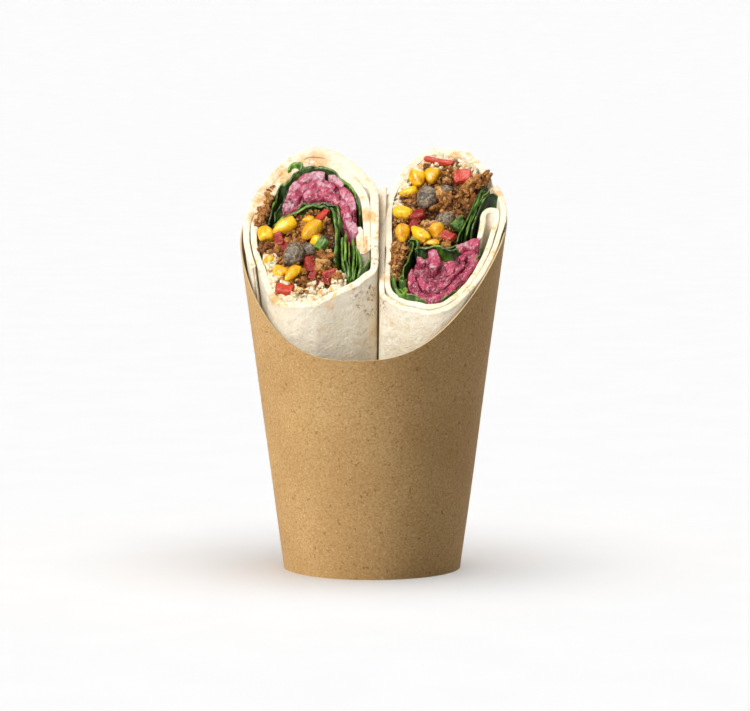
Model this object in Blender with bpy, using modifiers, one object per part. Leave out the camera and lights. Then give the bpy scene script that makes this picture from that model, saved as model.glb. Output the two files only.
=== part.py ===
"""A falafel wrap, cut in two and stood up in a scooped kraft paper cup.

Lengths are in millimetres until a mesh is made, and the finished solids are in metres.
Z is up, Y points away from the viewer, and the cup stands on Z = 0.

Every layer of a wrap half is drawn once, on the half's reference section: a flat, full-size
cross-section with its own x and y. Half.place() shrinks and moves that section down the tapering
cup, and Half.cut() finds where a point of the section meets the slanted cut.
"""
import math

import bmesh
import bpy
import numpy as np
from mathutils import Matrix, Vector

MM = 0.001
GAP = 0.3

# Cup
FOOT_RADIUS = 30.0
TIP_RADIUS = 45.0
TIP_HEIGHT = 113.0
PAPER = 0.6
RIM_LOW = 74.2
RIM_RISE = 50.0
RIM_SPREAD = 77.0
RIM_POWER = 2.7
SCOOP_TURN = -9.0
HEM_HEIGHT = 6.4
BASE_THICKNESS = 0.6
CUP_SIDES = 72

# Wrap halves
FLOOR = HEM_HEIGHT + GAP + BASE_THICKNESS + GAP + 0.2
TAPER_TOP = 118.0
BULGE = 0.04
BULGE_START = 112.0
BULGE_END = 128.0
SQUEEZED_RADIUS = 44.6
SQUEEZE_SHARPNESS = 16.0
CUT_TURN = 9.0
CUT_TRIES = 14
SHARP_ANGLE = math.radians(35.0)

# Layers: tortilla, leaves and the smear of soft cheese
LAYER_GAP = 0.45
TURN_STEP = 10.0
LAST_TURN = 358.0
TUCK = 38.0
TONGUE_SHIFT = 0.62
TONGUE_STEPS = 3
FOLD_STEPS = 6
SWELL_DEPTH = 25.0
WALL_LEVELS = (0.0, 0.45, 0.78, 0.9, 1.0)
LEAF_THICKNESS = 0.9
LEAF_LEVELS = (0.0, 0.78, 0.9, 1.0)
LEAF_PROUD = 0.8
CREAM_THICKNESS = 1.9

# Heaps of filling and what shows on them
CORE_SINK = 1.2
LUMP_SINK = 0.4
LUMP_FLATNESS = 0.9
BALL_RADIUS = 1.05
DICE_SIZE = 1.7
SHRINK_STEP = 0.08
SMALLEST_LUMP = 0.45
SHRED_LEVELS = (0.9, 1.0)
SHRED_PROUD = 0.7
SHRED_STEP = 22.0

COLOURS = {
    "kraft_paper": ((0.52, 0.31, 0.14), 0.85),
    "tortilla_bread": ((0.88, 0.78, 0.60), 0.75),
    "crumbled_falafel": ((0.25, 0.11, 0.04), 0.7),
    "pickled_onion": ((0.58, 0.11, 0.22), 0.35),
    "spinach_leaf": ((0.05, 0.15, 0.02), 0.45),
    "soft_cheese": ((0.90, 0.86, 0.76), 0.5),
}


def smooth(t):
    t = np.clip(t, 0.0, 1.0)
    return t * t * (3.0 - 2.0 * t)


def cup_radius(z):
    """Outer radius of the cup's cone at a height."""
    return FOOT_RADIUS + (TIP_RADIUS - FOOT_RADIUS) * z / TIP_HEIGHT


def rim_height(angle):
    """Height of the scooped rim, for an angle in degrees turned from the front."""
    away = abs((angle - SCOOP_TURN + 180.0) % 360.0 - 180.0)
    return RIM_LOW + RIM_RISE * (1.0 - math.exp(-((away / RIM_SPREAD) ** RIM_POWER)))


CUP_AXIS_Y = (cup_radius(rim_height(0.0)) - cup_radius(rim_height(180.0))) / 2.0


class Half:
    """One half of the wrap: its outline, its place in the cup and its slanted cut.

    side is -1 for the left half and +1 for the right half. spin is the way in which the tortilla
    is rolled, and outer_end the angle at which its outer end lies, both seen from above.
    """

    def __init__(self, side, half_width, half_depth, roundness, waves, to_seam, seam_x, axis_y,
                 cut_height, cut_slope, layer, layer_swell, spin, inner_end, outer_end):
        self.side = side
        self.half_width = half_width
        self.half_depth = half_depth
        self.roundness = roundness
        self.waves = waves
        self.to_seam = to_seam
        self.axis_x = seam_x + side * to_seam
        self.axis_y = axis_y
        self.cut_height = cut_height
        self.cut_slope = math.radians(cut_slope)
        self.cut_turn = math.radians(CUT_TURN)
        self.layer = layer
        self.layer_swell = layer_swell
        self.spin = spin
        self.inner_end = inner_end
        self.outer_end = outer_end

    def outline(self, degrees):
        """Outline radius: a wavy superellipse pressed flat by the other half and by the cup."""
        phi = np.radians(degrees)
        across = np.abs(np.cos(phi)) / self.half_width
        along = np.abs(np.sin(phi)) / self.half_depth
        free = (across ** self.roundness + along ** self.roundness) ** (-1.0 / self.roundness)
        for order, size, place in self.waves:
            free = free * (1.0 + size * np.cos(order * (phi - math.radians(place))))
        seam = self.to_seam / np.clip(-self.side * np.cos(phi), 0.05, None)
        dot = self.axis_x * np.cos(phi) + self.axis_y * np.sin(phi)
        beyond = SQUEEZED_RADIUS ** 2 - self.axis_x ** 2 - self.axis_y ** 2
        cup = -dot + np.sqrt(dot ** 2 + beyond)
        power = -SQUEEZE_SHARPNESS
        return (free ** power + seam ** power + cup ** power) ** (1.0 / power)

    def thickness(self, degrees):
        """Tortilla thickness, a little more at the back of the roll."""
        return self.layer + self.layer_swell * np.clip(np.sin(np.radians(degrees)), 0.0, None)

    def depth(self, turned):
        """How far under the outline the outer face of the rolled tortilla lies."""
        covered = 1.0 - smooth((turned - self.outer_end + LAST_TURN) / TUCK)
        return (self.thickness(self.spin * turned) + LAYER_GAP) * covered

    def inner_face(self, degrees, inset=0.0):
        """Points just inside the roll, at the given angles of the section."""
        points = []
        for angle in degrees:
            turned = self.spin * angle
            while turned < self.inner_end:
                turned += 360.0
            while turned >= self.inner_end + 360.0:
                turned -= 360.0
            radius = self.outline(angle) - self.depth(turned) - self.thickness(angle) - inset
            points.append(polar(radius, angle))
        return points

    def scale(self, z):
        wall = PAPER + GAP
        taper = (cup_radius(np.clip(z, FLOOR, TAPER_TOP)) - wall) / (cup_radius(TAPER_TOP) - wall)
        return taper * (1.0 + BULGE * smooth((z - BULGE_START) / (BULGE_END - BULGE_START)))

    def place(self, x, y, z):
        """World x and y of a section point at a height."""
        scale = self.scale(z)
        return scale * (self.axis_x + x), scale * (self.axis_y + y) + CUP_AXIS_Y

    def unplace(self, world_x, world_y, z):
        """The section point that lies at a world place."""
        scale = self.scale(z)
        return world_x / scale - self.axis_x, (world_y - CUP_AXIS_Y) / scale - self.axis_y

    def cut(self, x, y, lift=0.0):
        """World point in which the layer at a section point meets the cut."""
        z = self.cut_height + 0.0 * (x + y)
        for _ in range(CUT_TRIES):
            world_x, world_y = self.place(x, y, z)
            across = (world_x - self.axis_x) * math.sin(self.cut_turn)
            along = (world_y - CUP_AXIS_Y - self.axis_y) * math.cos(self.cut_turn)
            z = self.cut_height + math.tan(self.cut_slope) * (along + across) + lift
        return world_x, world_y, z

    def face_axes(self):
        """Unit vectors across the cut, up the cut, and out of it."""
        across = Vector((math.cos(self.cut_turn), -math.sin(self.cut_turn), 0.0))
        level = Vector((math.sin(self.cut_turn), math.cos(self.cut_turn), 0.0))
        up = level * math.cos(self.cut_slope) + Vector((0.0, 0.0, math.sin(self.cut_slope)))
        return across, up, across.cross(up)


LEFT = Half(side=-1, half_width=24.0, half_depth=31.0, roundness=1.82,
            waves=((2, 0.15, 9.0), (3, 0.07, -26.0)), to_seam=22.8, seam_x=2.0, axis_y=-5.4,
            cut_height=113.3, cut_slope=44.4, layer=2.1, layer_swell=0.5,
            spin=1, inner_end=-18.0, outer_end=575.0)
RIGHT = Half(side=1, half_width=27.2, half_depth=31.0, roundness=1.8,
             waves=((2, 0.048, 131.0), (3, 0.064, -25.0)), to_seam=20.7, seam_x=2.6, axis_y=-6.0,
             cut_height=112.1, cut_slope=40.9, layer=1.8, layer_swell=0.0,
             spin=-1, inner_end=-22.0, outer_end=590.0)


def polar(radius, degrees):
    phi = math.radians(degrees)
    return (float(radius) * math.cos(phi), float(radius) * math.sin(phi))


def make_material(name):
    colour, roughness = COLOURS[name]
    material = bpy.data.materials.new(name)
    material.use_nodes = True
    shader = material.node_tree.nodes["Principled BSDF"]
    shader.inputs["Base Color"].default_value = (*colour, 1.0)
    shader.inputs["Roughness"].default_value = roughness
    shader.inputs["Metallic"].default_value = 0.0
    return material


def add_object(name, points, faces, material, collection):
    """Make a mesh object from points in millimetres."""
    mesh = bpy.data.meshes.new(name)
    mesh.from_pydata([tuple(MM * float(c) for c in point) for point in points], [], faces)
    body = bmesh.new()
    body.from_mesh(mesh)
    bmesh.ops.recalc_face_normals(body, faces=body.faces)
    body.to_mesh(mesh)
    body.free()
    mesh.materials.append(material)
    mesh.shade_smooth()
    mesh.set_sharp_from_angle(angle=SHARP_ANGLE)
    obj = bpy.data.objects.new(name, mesh)
    collection.objects.link(obj)
    return obj


def smooth_path(points, per_span):
    """A round curve through a few chosen points, in per_span steps from each to the next."""
    line = np.array(points)
    last = len(line) - 1
    result = []
    for span in range(last):
        before, start, end, after = line[[max(span - 1, 0), span, span + 1, min(span + 2, last)]]
        for step in range(per_span):
            t = step / per_span
            bend = 2.0 * before - 5.0 * start + 4.0 * end - after
            twist = 3.0 * start - before - 3.0 * end + after
            point = start + 0.5 * t * ((end - before) + t * (bend + t * twist))
            result.append(tuple(point))
    result.append(tuple(points[-1]))
    return result


def two_sides(path, thickness):
    """The two edges of a strip of a given thickness that runs along a path."""
    line = np.array(path)
    along = np.gradient(line, axis=0)
    along /= np.linalg.norm(along, axis=1)[:, None]
    across = np.stack([-along[:, 1], along[:, 0]], axis=1)
    reach = np.broadcast_to(np.asarray(thickness, float) / 2.0, len(line))[:, None]
    return line + reach * across, line - reach * across


def fibre(half, x, y, levels, lift):
    """Points up one fibre of a layer, from the cup's floor to the cut."""
    top = float(half.cut(x, y, lift)[2])
    points = []
    for level in levels:
        z = FLOOR + level * (top - FLOOR)
        world_x, world_y = half.place(x, y, z)
        points.append((world_x, world_y, z))
    return points


def add_strip(name, half, path, thickness, material, collection, levels=WALL_LEVELS, lift=0.0):
    """A bent layer that stands on the cup's floor: a tortilla, a leaf or a smear."""
    left, right = two_sides(path, thickness)
    count = len(path)
    outline = [*left, *right[::-1]]
    fibres = [fibre(half, x, y, levels, lift) for x, y in outline]
    points = [fibres[i][level] for level in range(len(levels)) for i in range(2 * count)]
    faces = []
    around = 2 * count
    for level in range(len(levels) - 1):
        for i in range(around):
            j = (i + 1) % around
            low = level * around
            faces.append((low + i, low + j, low + around + j, low + around + i))
    top = (len(levels) - 1) * around
    for i in range(count - 1):
        other = around - 1 - i
        faces.append((i, i + 1, other - 1, other))
        faces.append((top + i, top + i + 1, top + other - 1, top + other))
    return add_object(name, points, faces, material, collection)


def add_core(name, half, outline, material, collection):
    """A solid filling of a closed region of the section, sunk a little under the cut."""
    fibres = [fibre(half, x, y, WALL_LEVELS, -CORE_SINK) for x, y in outline]
    count = len(outline)
    last = len(WALL_LEVELS) - 1
    points = [fibres[i][level] for level in range(last + 1) for i in range(count)]
    faces = [tuple(range(count))]
    for level in range(last):
        for i in range(count):
            j = (i + 1) % count
            low = level * count
            faces.append((low + i, low + j, low + count + j, low + count + i))
    faces.append(tuple(last * count + i for i in range(count)))
    return add_object(name, points, faces, material, collection)


def inside_by(outline, x, y):
    """How far a point lies inside a closed outline, negative when it is outside."""
    line = np.array(outline)
    following = np.roll(line, -1, axis=0)
    span = following - line
    offset = np.array((x, y)) - line
    share = np.clip((offset * span).sum(axis=1) / (span ** 2).sum(axis=1), 0.0, 1.0)
    distance = np.hypot(*(offset - share[:, None] * span).T).min()
    crosses = (line[:, 1] > y) != (following[:, 1] > y)
    with np.errstate(divide="ignore", invalid="ignore"):
        at = line[:, 0] + (y - line[:, 1]) * span[:, 0] / span[:, 1]
    within = np.count_nonzero(crosses & (x < at)) % 2 == 1
    return distance if within else -distance


def lump_matrix(half, x, y, turn, sizes):
    """Lay a lump in the cut: its length is turned from the level line of the cut."""
    across, up, out = half.face_axes()
    angle = math.radians(turn)
    along = across * math.cos(angle) + up * math.sin(angle)
    sideways = up * math.cos(angle) - across * math.sin(angle)
    centre = Vector([float(c) for c in half.cut(x, y)]) - out * LUMP_SINK
    rotation = Matrix((along, sideways, out)).transposed().to_4x4()
    stretch = Matrix.Diagonal((sizes[0] / 2.0, sizes[1] / 2.0, sizes[2] / 2.0, 1.0))
    return Matrix.Translation(centre) @ rotation @ stretch


def add_lump(half, region, x, y, length, width, turn, collection, square):
    """One kernel, bean, dice or crumb on the cut, shrunk until it lies inside its region."""
    share = 1.0
    while share > SMALLEST_LUMP:
        sizes = (length * share, width * share, width * share * LUMP_FLATNESS)
        body = bmesh.new()
        matrix = lump_matrix(half, x, y, turn, sizes)
        if square:
            bmesh.ops.create_cube(body, size=DICE_SIZE, matrix=matrix)
        else:
            bmesh.ops.create_icosphere(body, subdivisions=1, radius=BALL_RADIUS, matrix=matrix)
        clear = True
        for vert in body.verts:
            section = half.unplace(vert.co.x, vert.co.y, vert.co.z)
            clear = clear and inside_by(region, *section) > GAP
        if clear:
            bmesh.ops.scale(body, vec=(MM, MM, MM), verts=body.verts)
            mesh = bpy.data.meshes.new("lump")
            body.to_mesh(mesh)
            body.free()
            obj = bpy.data.objects.new("lump", mesh)
            collection.objects.link(obj)
            return obj
        body.free()
        share -= SHRINK_STEP
    return None


def fuse(obj, collection):
    """Join every object of a collection to one body, and remove them."""
    union = obj.modifiers.new("union", "BOOLEAN")
    union.operation = "UNION"
    union.solver = "EXACT"
    union.operand_type = "COLLECTION"
    union.collection = collection
    bpy.context.view_layer.update()
    evaluated = obj.evaluated_get(bpy.context.evaluated_depsgraph_get())
    mesh = bpy.data.meshes.new_from_object(evaluated)
    obj.modifiers.clear()
    obj.data = mesh
    for piece in list(collection.objects):
        bpy.data.objects.remove(piece, do_unlink=True)
    bpy.data.collections.remove(collection)
    drop_scraps(mesh)
    mesh.shade_smooth()
    mesh.set_sharp_from_angle(angle=SHARP_ANGLE)


def drop_scraps(mesh):
    """Keep the largest connected body of a mesh."""
    body = bmesh.new()
    body.from_mesh(mesh)
    body.verts.ensure_lookup_table()
    left = set(body.verts)
    groups = []
    while left:
        group = set()
        queue = [left.pop()]
        while queue:
            vert = queue.pop()
            group.add(vert)
            for edge in vert.link_edges:
                other = edge.other_vert(vert)
                if other in left:
                    left.remove(other)
                    queue.append(other)
        groups.append(group)
    largest = max(groups, key=len)
    scraps = [vert for vert in body.verts if vert not in largest]
    bmesh.ops.delete(body, geom=scraps, context="VERTS")
    bmesh.ops.dissolve_degenerate(body, dist=1e-6, edges=body.edges)
    bmesh.ops.triangulate(body, faces=body.faces)
    body.to_mesh(mesh)
    body.free()


def scratch_collection(name):
    collection = bpy.data.collections.new(name)
    bpy.context.scene.collection.children.link(collection)
    return collection


# Cup

def build_cup_wall(material, collection):
    """The cone of paper with its scooped rim and the hem turned in under the base."""
    slot = GAP + BASE_THICKNESS + GAP
    sections = []
    for step in range(CUP_SIDES):
        angle = 360.0 * step / CUP_SIDES
        rim = rim_height(angle)
        profile = (
            (cup_radius(0.0), 0.0),
            (cup_radius(rim / 2.0), rim / 2.0),
            (cup_radius(rim), rim),
            (cup_radius(rim) - PAPER, rim),
            (cup_radius(rim / 2.0) - PAPER, rim / 2.0),
            (cup_radius(PAPER) - PAPER, PAPER),
            (cup_radius(PAPER) - PAPER - slot, PAPER),
            (cup_radius(HEM_HEIGHT) - PAPER - slot, HEM_HEIGHT),
            (cup_radius(HEM_HEIGHT) - 2.0 * PAPER - slot, HEM_HEIGHT),
            (cup_radius(0.0) - 2.0 * PAPER - slot, 0.0),
        )
        turn = math.radians(angle)
        sections.append([(r * math.sin(turn), CUP_AXIS_Y - r * math.cos(turn), z)
                         for r, z in profile])
    count = len(sections[0])
    points = [point for section in sections for point in section]
    faces = []
    for step in range(CUP_SIDES):
        following = (step + 1) % CUP_SIDES
        for i in range(count):
            j = (i + 1) % count
            faces.append((step * count + i, step * count + j,
                          following * count + j, following * count + i))
    return add_object("cup_wall", points, faces, material, collection)


def build_cup_base(material, collection):
    """The round base: a disc with a skirt that stands in the hem's slot."""
    under = HEM_HEIGHT + GAP
    top = under + BASE_THICKNESS
    foot = PAPER + GAP
    outer = -PAPER - GAP
    inner = outer - BASE_THICKNESS
    profile = (
        (0.0, top),
        (cup_radius(top) + outer, top),
        (cup_radius(foot) + outer, foot),
        (cup_radius(foot) + inner, foot),
        (cup_radius(under) + inner, under),
        (0.0, under),
    )
    mesh = bpy.data.meshes.new("cup_base")
    points = [(MM * r, 0.0, MM * z) for r, z in profile]
    mesh.from_pydata(points, [(i, i + 1) for i in range(len(points) - 1)], [])
    mesh.materials.append(material)
    base = bpy.data.objects.new("cup_base", mesh)
    base.location = (0.0, MM * CUP_AXIS_Y, 0.0)
    collection.objects.link(base)
    screw = base.modifiers.new("turn", "SCREW")
    screw.steps = CUP_SIDES
    screw.render_steps = CUP_SIDES
    screw.use_merge_vertices = True
    screw.merge_threshold = 0.00001
    screw.use_smooth_shade = False
    return base


# Tortillas

def rolled_path(half, fold_radius, fold_length):
    """Centre line of the rolled tortilla: a fold at its inner end, then one and a half turns."""
    path = []
    start = half.inner_end
    degrees = half.spin * start
    layer = float(half.thickness(degrees))
    radius = float(half.outline(degrees) - half.depth(start)) - layer / 2.0
    centre = radius - fold_radius
    spare = max(0.0, fold_radius - layer) / fold_radius
    for step in range(TONGUE_STEPS + 1):
        left = 1.0 - step / TONGUE_STEPS
        turned = start + fold_length * left
        leg = float(half.outline(half.spin * turned) - half.depth(turned)) - layer / 2.0
        narrowing = 1.0 - TONGUE_SHIFT * left * spare
        path.append(polar(leg - 2.0 * fold_radius * narrowing, half.spin * turned))
    for step in range(1, FOLD_STEPS):
        swing = math.pi * step / FOLD_STEPS
        lead = math.degrees(fold_radius * math.sin(swing) / centre)
        path.append(polar(centre - fold_radius * math.cos(swing), half.spin * (start - lead)))
    turned = start
    while turned < half.outer_end:
        degrees = half.spin * turned
        layer = float(half.thickness(degrees))
        radius = float(half.outline(degrees) - half.depth(turned)) - layer / 2.0
        path.append(polar(radius, degrees))
        turned += TURN_STEP
    return path


# Fillings, each drawn on the reference section

def left_regions():
    under_leaf = [(7.6, -11.3), (8.3, -5.6), (8.5, -0.4), (7.9, 3.8), (6.8, 6.4), (5.0, 7.5),
                  (1.9, 7.9), (-4.0, 7.4), (-9.2, 6.0), (-12.6, 4.5), (-14.6, 5.4),
                  (-15.0, 7.9), (-13.6, 10.7), (-12.4, 13.2)]
    side = LEFT.inner_face(range(140, 188, 8), 0.6)
    along_cream = LEFT.inner_face(range(192, 306, 10), 1.5 + CREAM_THICKNESS)
    filling = [*side, *along_cream, (10.2, -15.9), (9.7, -13.0), *under_leaf]
    over_leaf = [(-9.3, 9.6), (-4.3, 10.3), (2.2, 10.9), (6.8, 10.2), (9.5, 8.4), (10.8, 4.6),
                 (11.4, 1.6), (14.6, 1.4)]
    inside_leaf = LEFT.inner_face(range(12, 118, 10), 2.2)
    onion = [*over_leaf, *inside_leaf, (-8.4, 13.4), (-9.8, 11.2)]
    return filling, onion


def right_regions():
    top = RIGHT.inner_face(range(58, 129, 10), 1.6 + CREAM_THICKNESS)
    side = RIGHT.inner_face(range(138, 207, 10), 0.7)
    under = [(-13.8, -8.4), (-12.2, -4.8), (-11.2, -1.6), (-12.0, 0.6), (-11.2, 2.0), (-9.4, 1.0),
             (-7.4, 0.2), (-5.8, -2.2), (-1.2, -2.3), (2.8, -3.7), (4.3, -2.4), (5.3, 1.8),
             (7.1, 8.0), (9.3, 12.6), (11.2, 16.4), (12.4, 18.0)]
    filling = [*top, *side, *under]
    over = [(-10.7, -12.4), (-9.2, -8.9), (-8.4, -5.4), (-5.8, -4.9), (-1.2, -4.8), (2.8, -6.5),
            (6.6, -8.2), (8.4, -6.9), (8.5, -3.4), (12.4, -2.6)]
    inside_leaf = RIGHT.inner_face(range(-16, -122, -10), 2.2)
    return filling, [*over[::-1], (-11.8, -15.6), *inside_leaf[::-1]]


# Each item: place on the section, length, width, and turn on the cut in degrees.
LEFT_LUMPS = {
    "corn": ((-8.8, 3.0, 9.5, 4.8, 35), (-15.6, 1.9, 6.0, 5.6, 0), (0.2, 1.4, 9.8, 4.8, 62),
             (-15.2, -6.0, 4.4, 3.8, 0), (-11.6, -10.2, 8.0, 4.2, -40), (-6.9, -13.4, 8.0, 4.6, 60)),
    "bean": ((-6.4, -5.8, 9.6, 6.9, 80), (-0.6, -4.0, 5.4, 4.6, 20)),
    "pepper": ((-11.5, -1.6, 7.0, 3.6, 100), (4.6, 3.6, 5.6, 3.2, 60), (-0.6, -11.8, 8.0, 3.8, 95),
               (-9.4, -16.6, 5.6, 3.4, 0), (4.2, -15.2, 5.0, 3.6, 30)),
    "crumb": ((-3.9, 4.2, 6.0, 5.4, 10), (3.8, -8.0, 8.0, 6.6, 30), (5.4, -12.2, 6.0, 5.4, 0),
              (-3.2, -16.6, 7.0, 5.6, 0), (-14.0, -3.4, 5.0, 4.4, 0), (-16.0, 9.8, 4.6, 4.4, 70),
              (4.6, -1.2, 5.2, 4.8, 0), (1.4, -17.6, 5.0, 4.6, 0)),
}
RIGHT_LUMPS = {
    "corn": ((-8.2, 22.4, 7.0, 5.0, 95), (-3.4, 22.6, 7.0, 5.2, 85), (-10.9, 18.6, 6.0, 4.2, 20),
             (-12.7, 10.4, 6.6, 5.8, 0), (-12.8, 3.4, 7.8, 4.8, 90), (-6.6, 2.2, 8.2, 4.6, -35),
             (-1.4, 2.2, 6.0, 5.0, 80)),
    "bean": ((-5.5, 14.8, 9.6, 6.9, 95), (0.9, 6.6, 6.2, 5.6, 0), (0.4, 18.2, 5.0, 4.2, 0)),
    "pepper": ((-0.8, 26.2, 9.0, 3.0, -13), (6.0, 19.6, 5.6, 4.4, 10), (-8.8, 8.0, 7.0, 3.8, 80),
               (2.4, 0.4, 4.4, 4.0, 0)),
    "crumb": ((4.6, 13.4, 6.6, 5.6, 0), (-0.4, 11.6, 6.0, 5.0, 30), (4.4, 5.2, 5.0, 4.4, 0),
              (-11.8, 14.6, 5.4, 4.6, 0), (-12.7, -3.0, 4.6, 4.4, 90), (-4.4, 7.4, 6.0, 5.2, 0),
              (2.8, 22.4, 5.6, 4.8, 0), (7.6, 15.6, 4.4, 4.0, 0)),
}
# Each shred of onion: centre of its arc, radius, first angle, sweep, width.
LEFT_SHREDS = ((2.0, 10.0, 8.4, 20, 130, 2.4), (6.0, 9.0, 6.4, 10, 90, 2.2),
               (-2.0, 8.0, 7.0, 35, 95, 2.2), (11.0, 13.0, 4.4, -120, 120, 2.0),
               (1.0, 19.0, 4.2, 190, 150, 2.0), (-6.2, 16.0, 3.4, -110, 150, 1.8))
RIGHT_SHREDS = ((1.6, -10.6, 9.4, 195, 150, 2.6), (2.0, -8.0, 15.0, 235, 62, 2.4),
                (9.0, -8.0, 4.6, -70, 150, 2.4), (-4.4, -10.4, 3.8, 60, 150, 2.2),
                (1.8, -15.6, 3.6, 20, 160, 2.2), (-5.6, -17.6, 3.4, 150, 120, 2.0))


def build_heap(name, half, region, lumps, shreds, material, collection):
    """A core up to the cut with the larger pieces that show on it."""
    core = add_core(name, half, region, material, collection)
    pieces = scratch_collection(name + "_pieces")
    for kind, items in lumps.items():
        for x, y, length, width, turn in items:
            add_lump(half, region, x, y, length, width, turn, pieces, square=(kind == "pepper"))
    for x, y, radius, first, sweep, width in shreds:
        steps = max(4, int(sweep / SHRED_STEP))
        arc = []
        for step in range(steps + 1):
            dx, dy = polar(radius, first + sweep * step / steps)
            arc.append((x + dx, y + dy))
        arc = [point for point in arc if inside_by(region, *point) > width / 2.0 + GAP]
        if len(arc) > 2:
            add_strip("shred", half, arc, width, material, pieces, levels=SHRED_LEVELS,
                      lift=SHRED_PROUD)
    fuse(core, pieces)
    return core


def left_leaves():
    outer = [*LEFT.inner_face(range(14, 114, 9), 1.2), (-9.0, 16.2), (-10.2, 13.2),
             (-12.0, 10.3), (-13.3, 7.8)]
    return {
        "spinach_left_outer": outer,
        "spinach_left_middle": smooth_path(
            [(-13.0, 5.9), (-9.4, 7.3), (-4.2, 8.8), (2.0, 9.4), (6.0, 8.8), (8.3, 7.2),
             (9.4, 4.3), (9.9, -0.4), (9.7, -5.7), (9.0, -10.9)], 1),
        "spinach_left_fan_inner": smooth_path(
            [(11.8, -0.6), (12.0, -5.0), (11.5, -10.5), (12.0, -16.0)], 2),
        "spinach_left_fan_middle": smooth_path(
            [(13.8, -2.4), (13.8, -6.0), (13.8, -12.0), (14.0, -16.4)], 2),
        "spinach_left_fan_outer": smooth_path(
            [(15.2, -9.6), (16.0, -12.6), (17.4, -13.4), (18.4, -12.2)], 2),
    }


def right_leaves():
    return {
        "spinach_right_outer": RIGHT.inner_face(range(-14, -130, -9), 1.1),
        "spinach_right_corner": smooth_path(
            [(-10.7, 0.3), (-9.6, -1.9), (-10.6, -5.3), (-12.2, -8.7), (-13.5, -13.6)], 2),
        "spinach_right_middle": smooth_path(
            [(-7.7, -1.8), (-5.7, -3.6), (-1.0, -3.6), (3.2, -5.1), (6.8, -6.7)], 2),
        "spinach_right_blade_front": smooth_path(
            [(12.8, 17.2), (10.4, 12.6), (8.3, 7.8), (6.5, 1.8), (5.5, -2.8)], 2),
        "spinach_right_blade_middle": smooth_path(
            [(12.8, 13.8), (10.6, 9.4), (9.1, 4.8), (8.2, -0.8)], 2),
        "spinach_right_blade_back": smooth_path(
            [(16.6, 12.6), (14.6, 12.3), (12.6, 9.8), (11.1, 6.0), (10.4, 1.0)], 2),
    }


def build_half(half, label, fold, regions, lumps, shreds, leaves, cream_angles, materials, wrap):
    fold_radius, fold_length = fold
    path = rolled_path(half, fold_radius, fold_length)
    layers = half.layer + half.layer_swell * np.clip([y / SWELL_DEPTH for x, y in path], 0.0, 1.0)
    add_strip("tortilla_" + label, half, path, layers, materials["tortilla_bread"], wrap)
    filling, onion = regions
    build_heap("falafel_filling_" + label, half, filling, lumps, (),
               materials["crumbled_falafel"], wrap)
    build_heap("pickled_onion_" + label, half, onion, {}, shreds,
               materials["pickled_onion"], wrap)
    cream = half.inner_face(cream_angles, 0.7 + CREAM_THICKNESS / 2.0)
    add_strip("soft_cheese_" + label, half, cream, CREAM_THICKNESS, materials["soft_cheese"],
              wrap, levels=LEAF_LEVELS)
    for name, leaf in leaves.items():
        add_strip(name, half, leaf, LEAF_THICKNESS, materials["spinach_leaf"], wrap,
                  levels=LEAF_LEVELS, lift=LEAF_PROUD)


def main():
    for obj in list(bpy.data.objects):
        bpy.data.objects.remove(obj, do_unlink=True)
    wrap = scratch_collection("falafel_wrap")
    materials = {name: make_material(name) for name in COLOURS}
    build_cup_wall(materials["kraft_paper"], wrap)
    build_cup_base(materials["kraft_paper"], wrap)
    build_half(LEFT, "left", (1.3, 20.0), left_regions(), LEFT_LUMPS, LEFT_SHREDS,
               left_leaves(), range(198, 303, 8), materials, wrap)
    build_half(RIGHT, "right", (2.3, 30.0), right_regions(), RIGHT_LUMPS, RIGHT_SHREDS,
               right_leaves(), range(60, 126, 8), materials, wrap)


main()
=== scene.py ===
# %% [markdown]
# # A cut falafel wrap in a kraft paper cup
#
# Both halves of one tortilla wrap stand in a scooped paper cup, with their cut faces to the viewer.
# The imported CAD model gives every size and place. This lesson dresses it: bread, crumbs, corn,
# beans, pepper, pickled onion, spinach and soft cheese, each as its own mesh.

# %% Load the frame
import math
from dataclasses import dataclass

import bpy
import numpy as np
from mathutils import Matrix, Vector


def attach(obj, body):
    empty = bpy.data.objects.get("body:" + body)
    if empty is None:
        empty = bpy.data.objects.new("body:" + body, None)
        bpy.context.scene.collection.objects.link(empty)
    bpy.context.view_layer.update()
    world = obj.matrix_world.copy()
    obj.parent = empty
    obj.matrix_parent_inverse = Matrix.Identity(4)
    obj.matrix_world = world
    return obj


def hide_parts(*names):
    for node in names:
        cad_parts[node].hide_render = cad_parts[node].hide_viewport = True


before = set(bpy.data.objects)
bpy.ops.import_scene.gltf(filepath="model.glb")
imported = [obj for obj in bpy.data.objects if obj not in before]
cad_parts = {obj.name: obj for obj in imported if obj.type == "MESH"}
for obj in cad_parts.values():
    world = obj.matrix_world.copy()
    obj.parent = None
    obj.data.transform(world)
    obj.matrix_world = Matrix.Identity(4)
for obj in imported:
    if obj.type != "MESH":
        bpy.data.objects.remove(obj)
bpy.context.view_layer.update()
MM = 0.001

# %% [markdown]
# ## The cup's cone and the scoop of its rim
#
# The cup is a cone of paper, and its rim dips in front in one smooth scoop. Both are formulas of a
# few real sizes in millimetres, the same ones that the CAD model was made from.

# %% Cup sizes
FOOT_RADIUS = 30.0
TIP_RADIUS = 45.0
TIP_HEIGHT = 113.0
PAPER = 0.6
RIM_LOW = 74.2
RIM_RISE = 50.0
RIM_SPREAD = 77.0
RIM_POWER = 2.7
SCOOP_TURN = -9.0
FLOOR = 7.8


def smooth(t):
    """An S-curve from 0 to 1: 3 t squared minus 2 t cubed."""
    t = np.clip(t, 0.0, 1.0)
    return t * t * (3.0 - 2.0 * t)


def cup_radius(z):
    """Outer radius of the cone, a straight line of the height."""
    return FOOT_RADIUS + (TIP_RADIUS - FOOT_RADIUS) * z / TIP_HEIGHT


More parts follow.
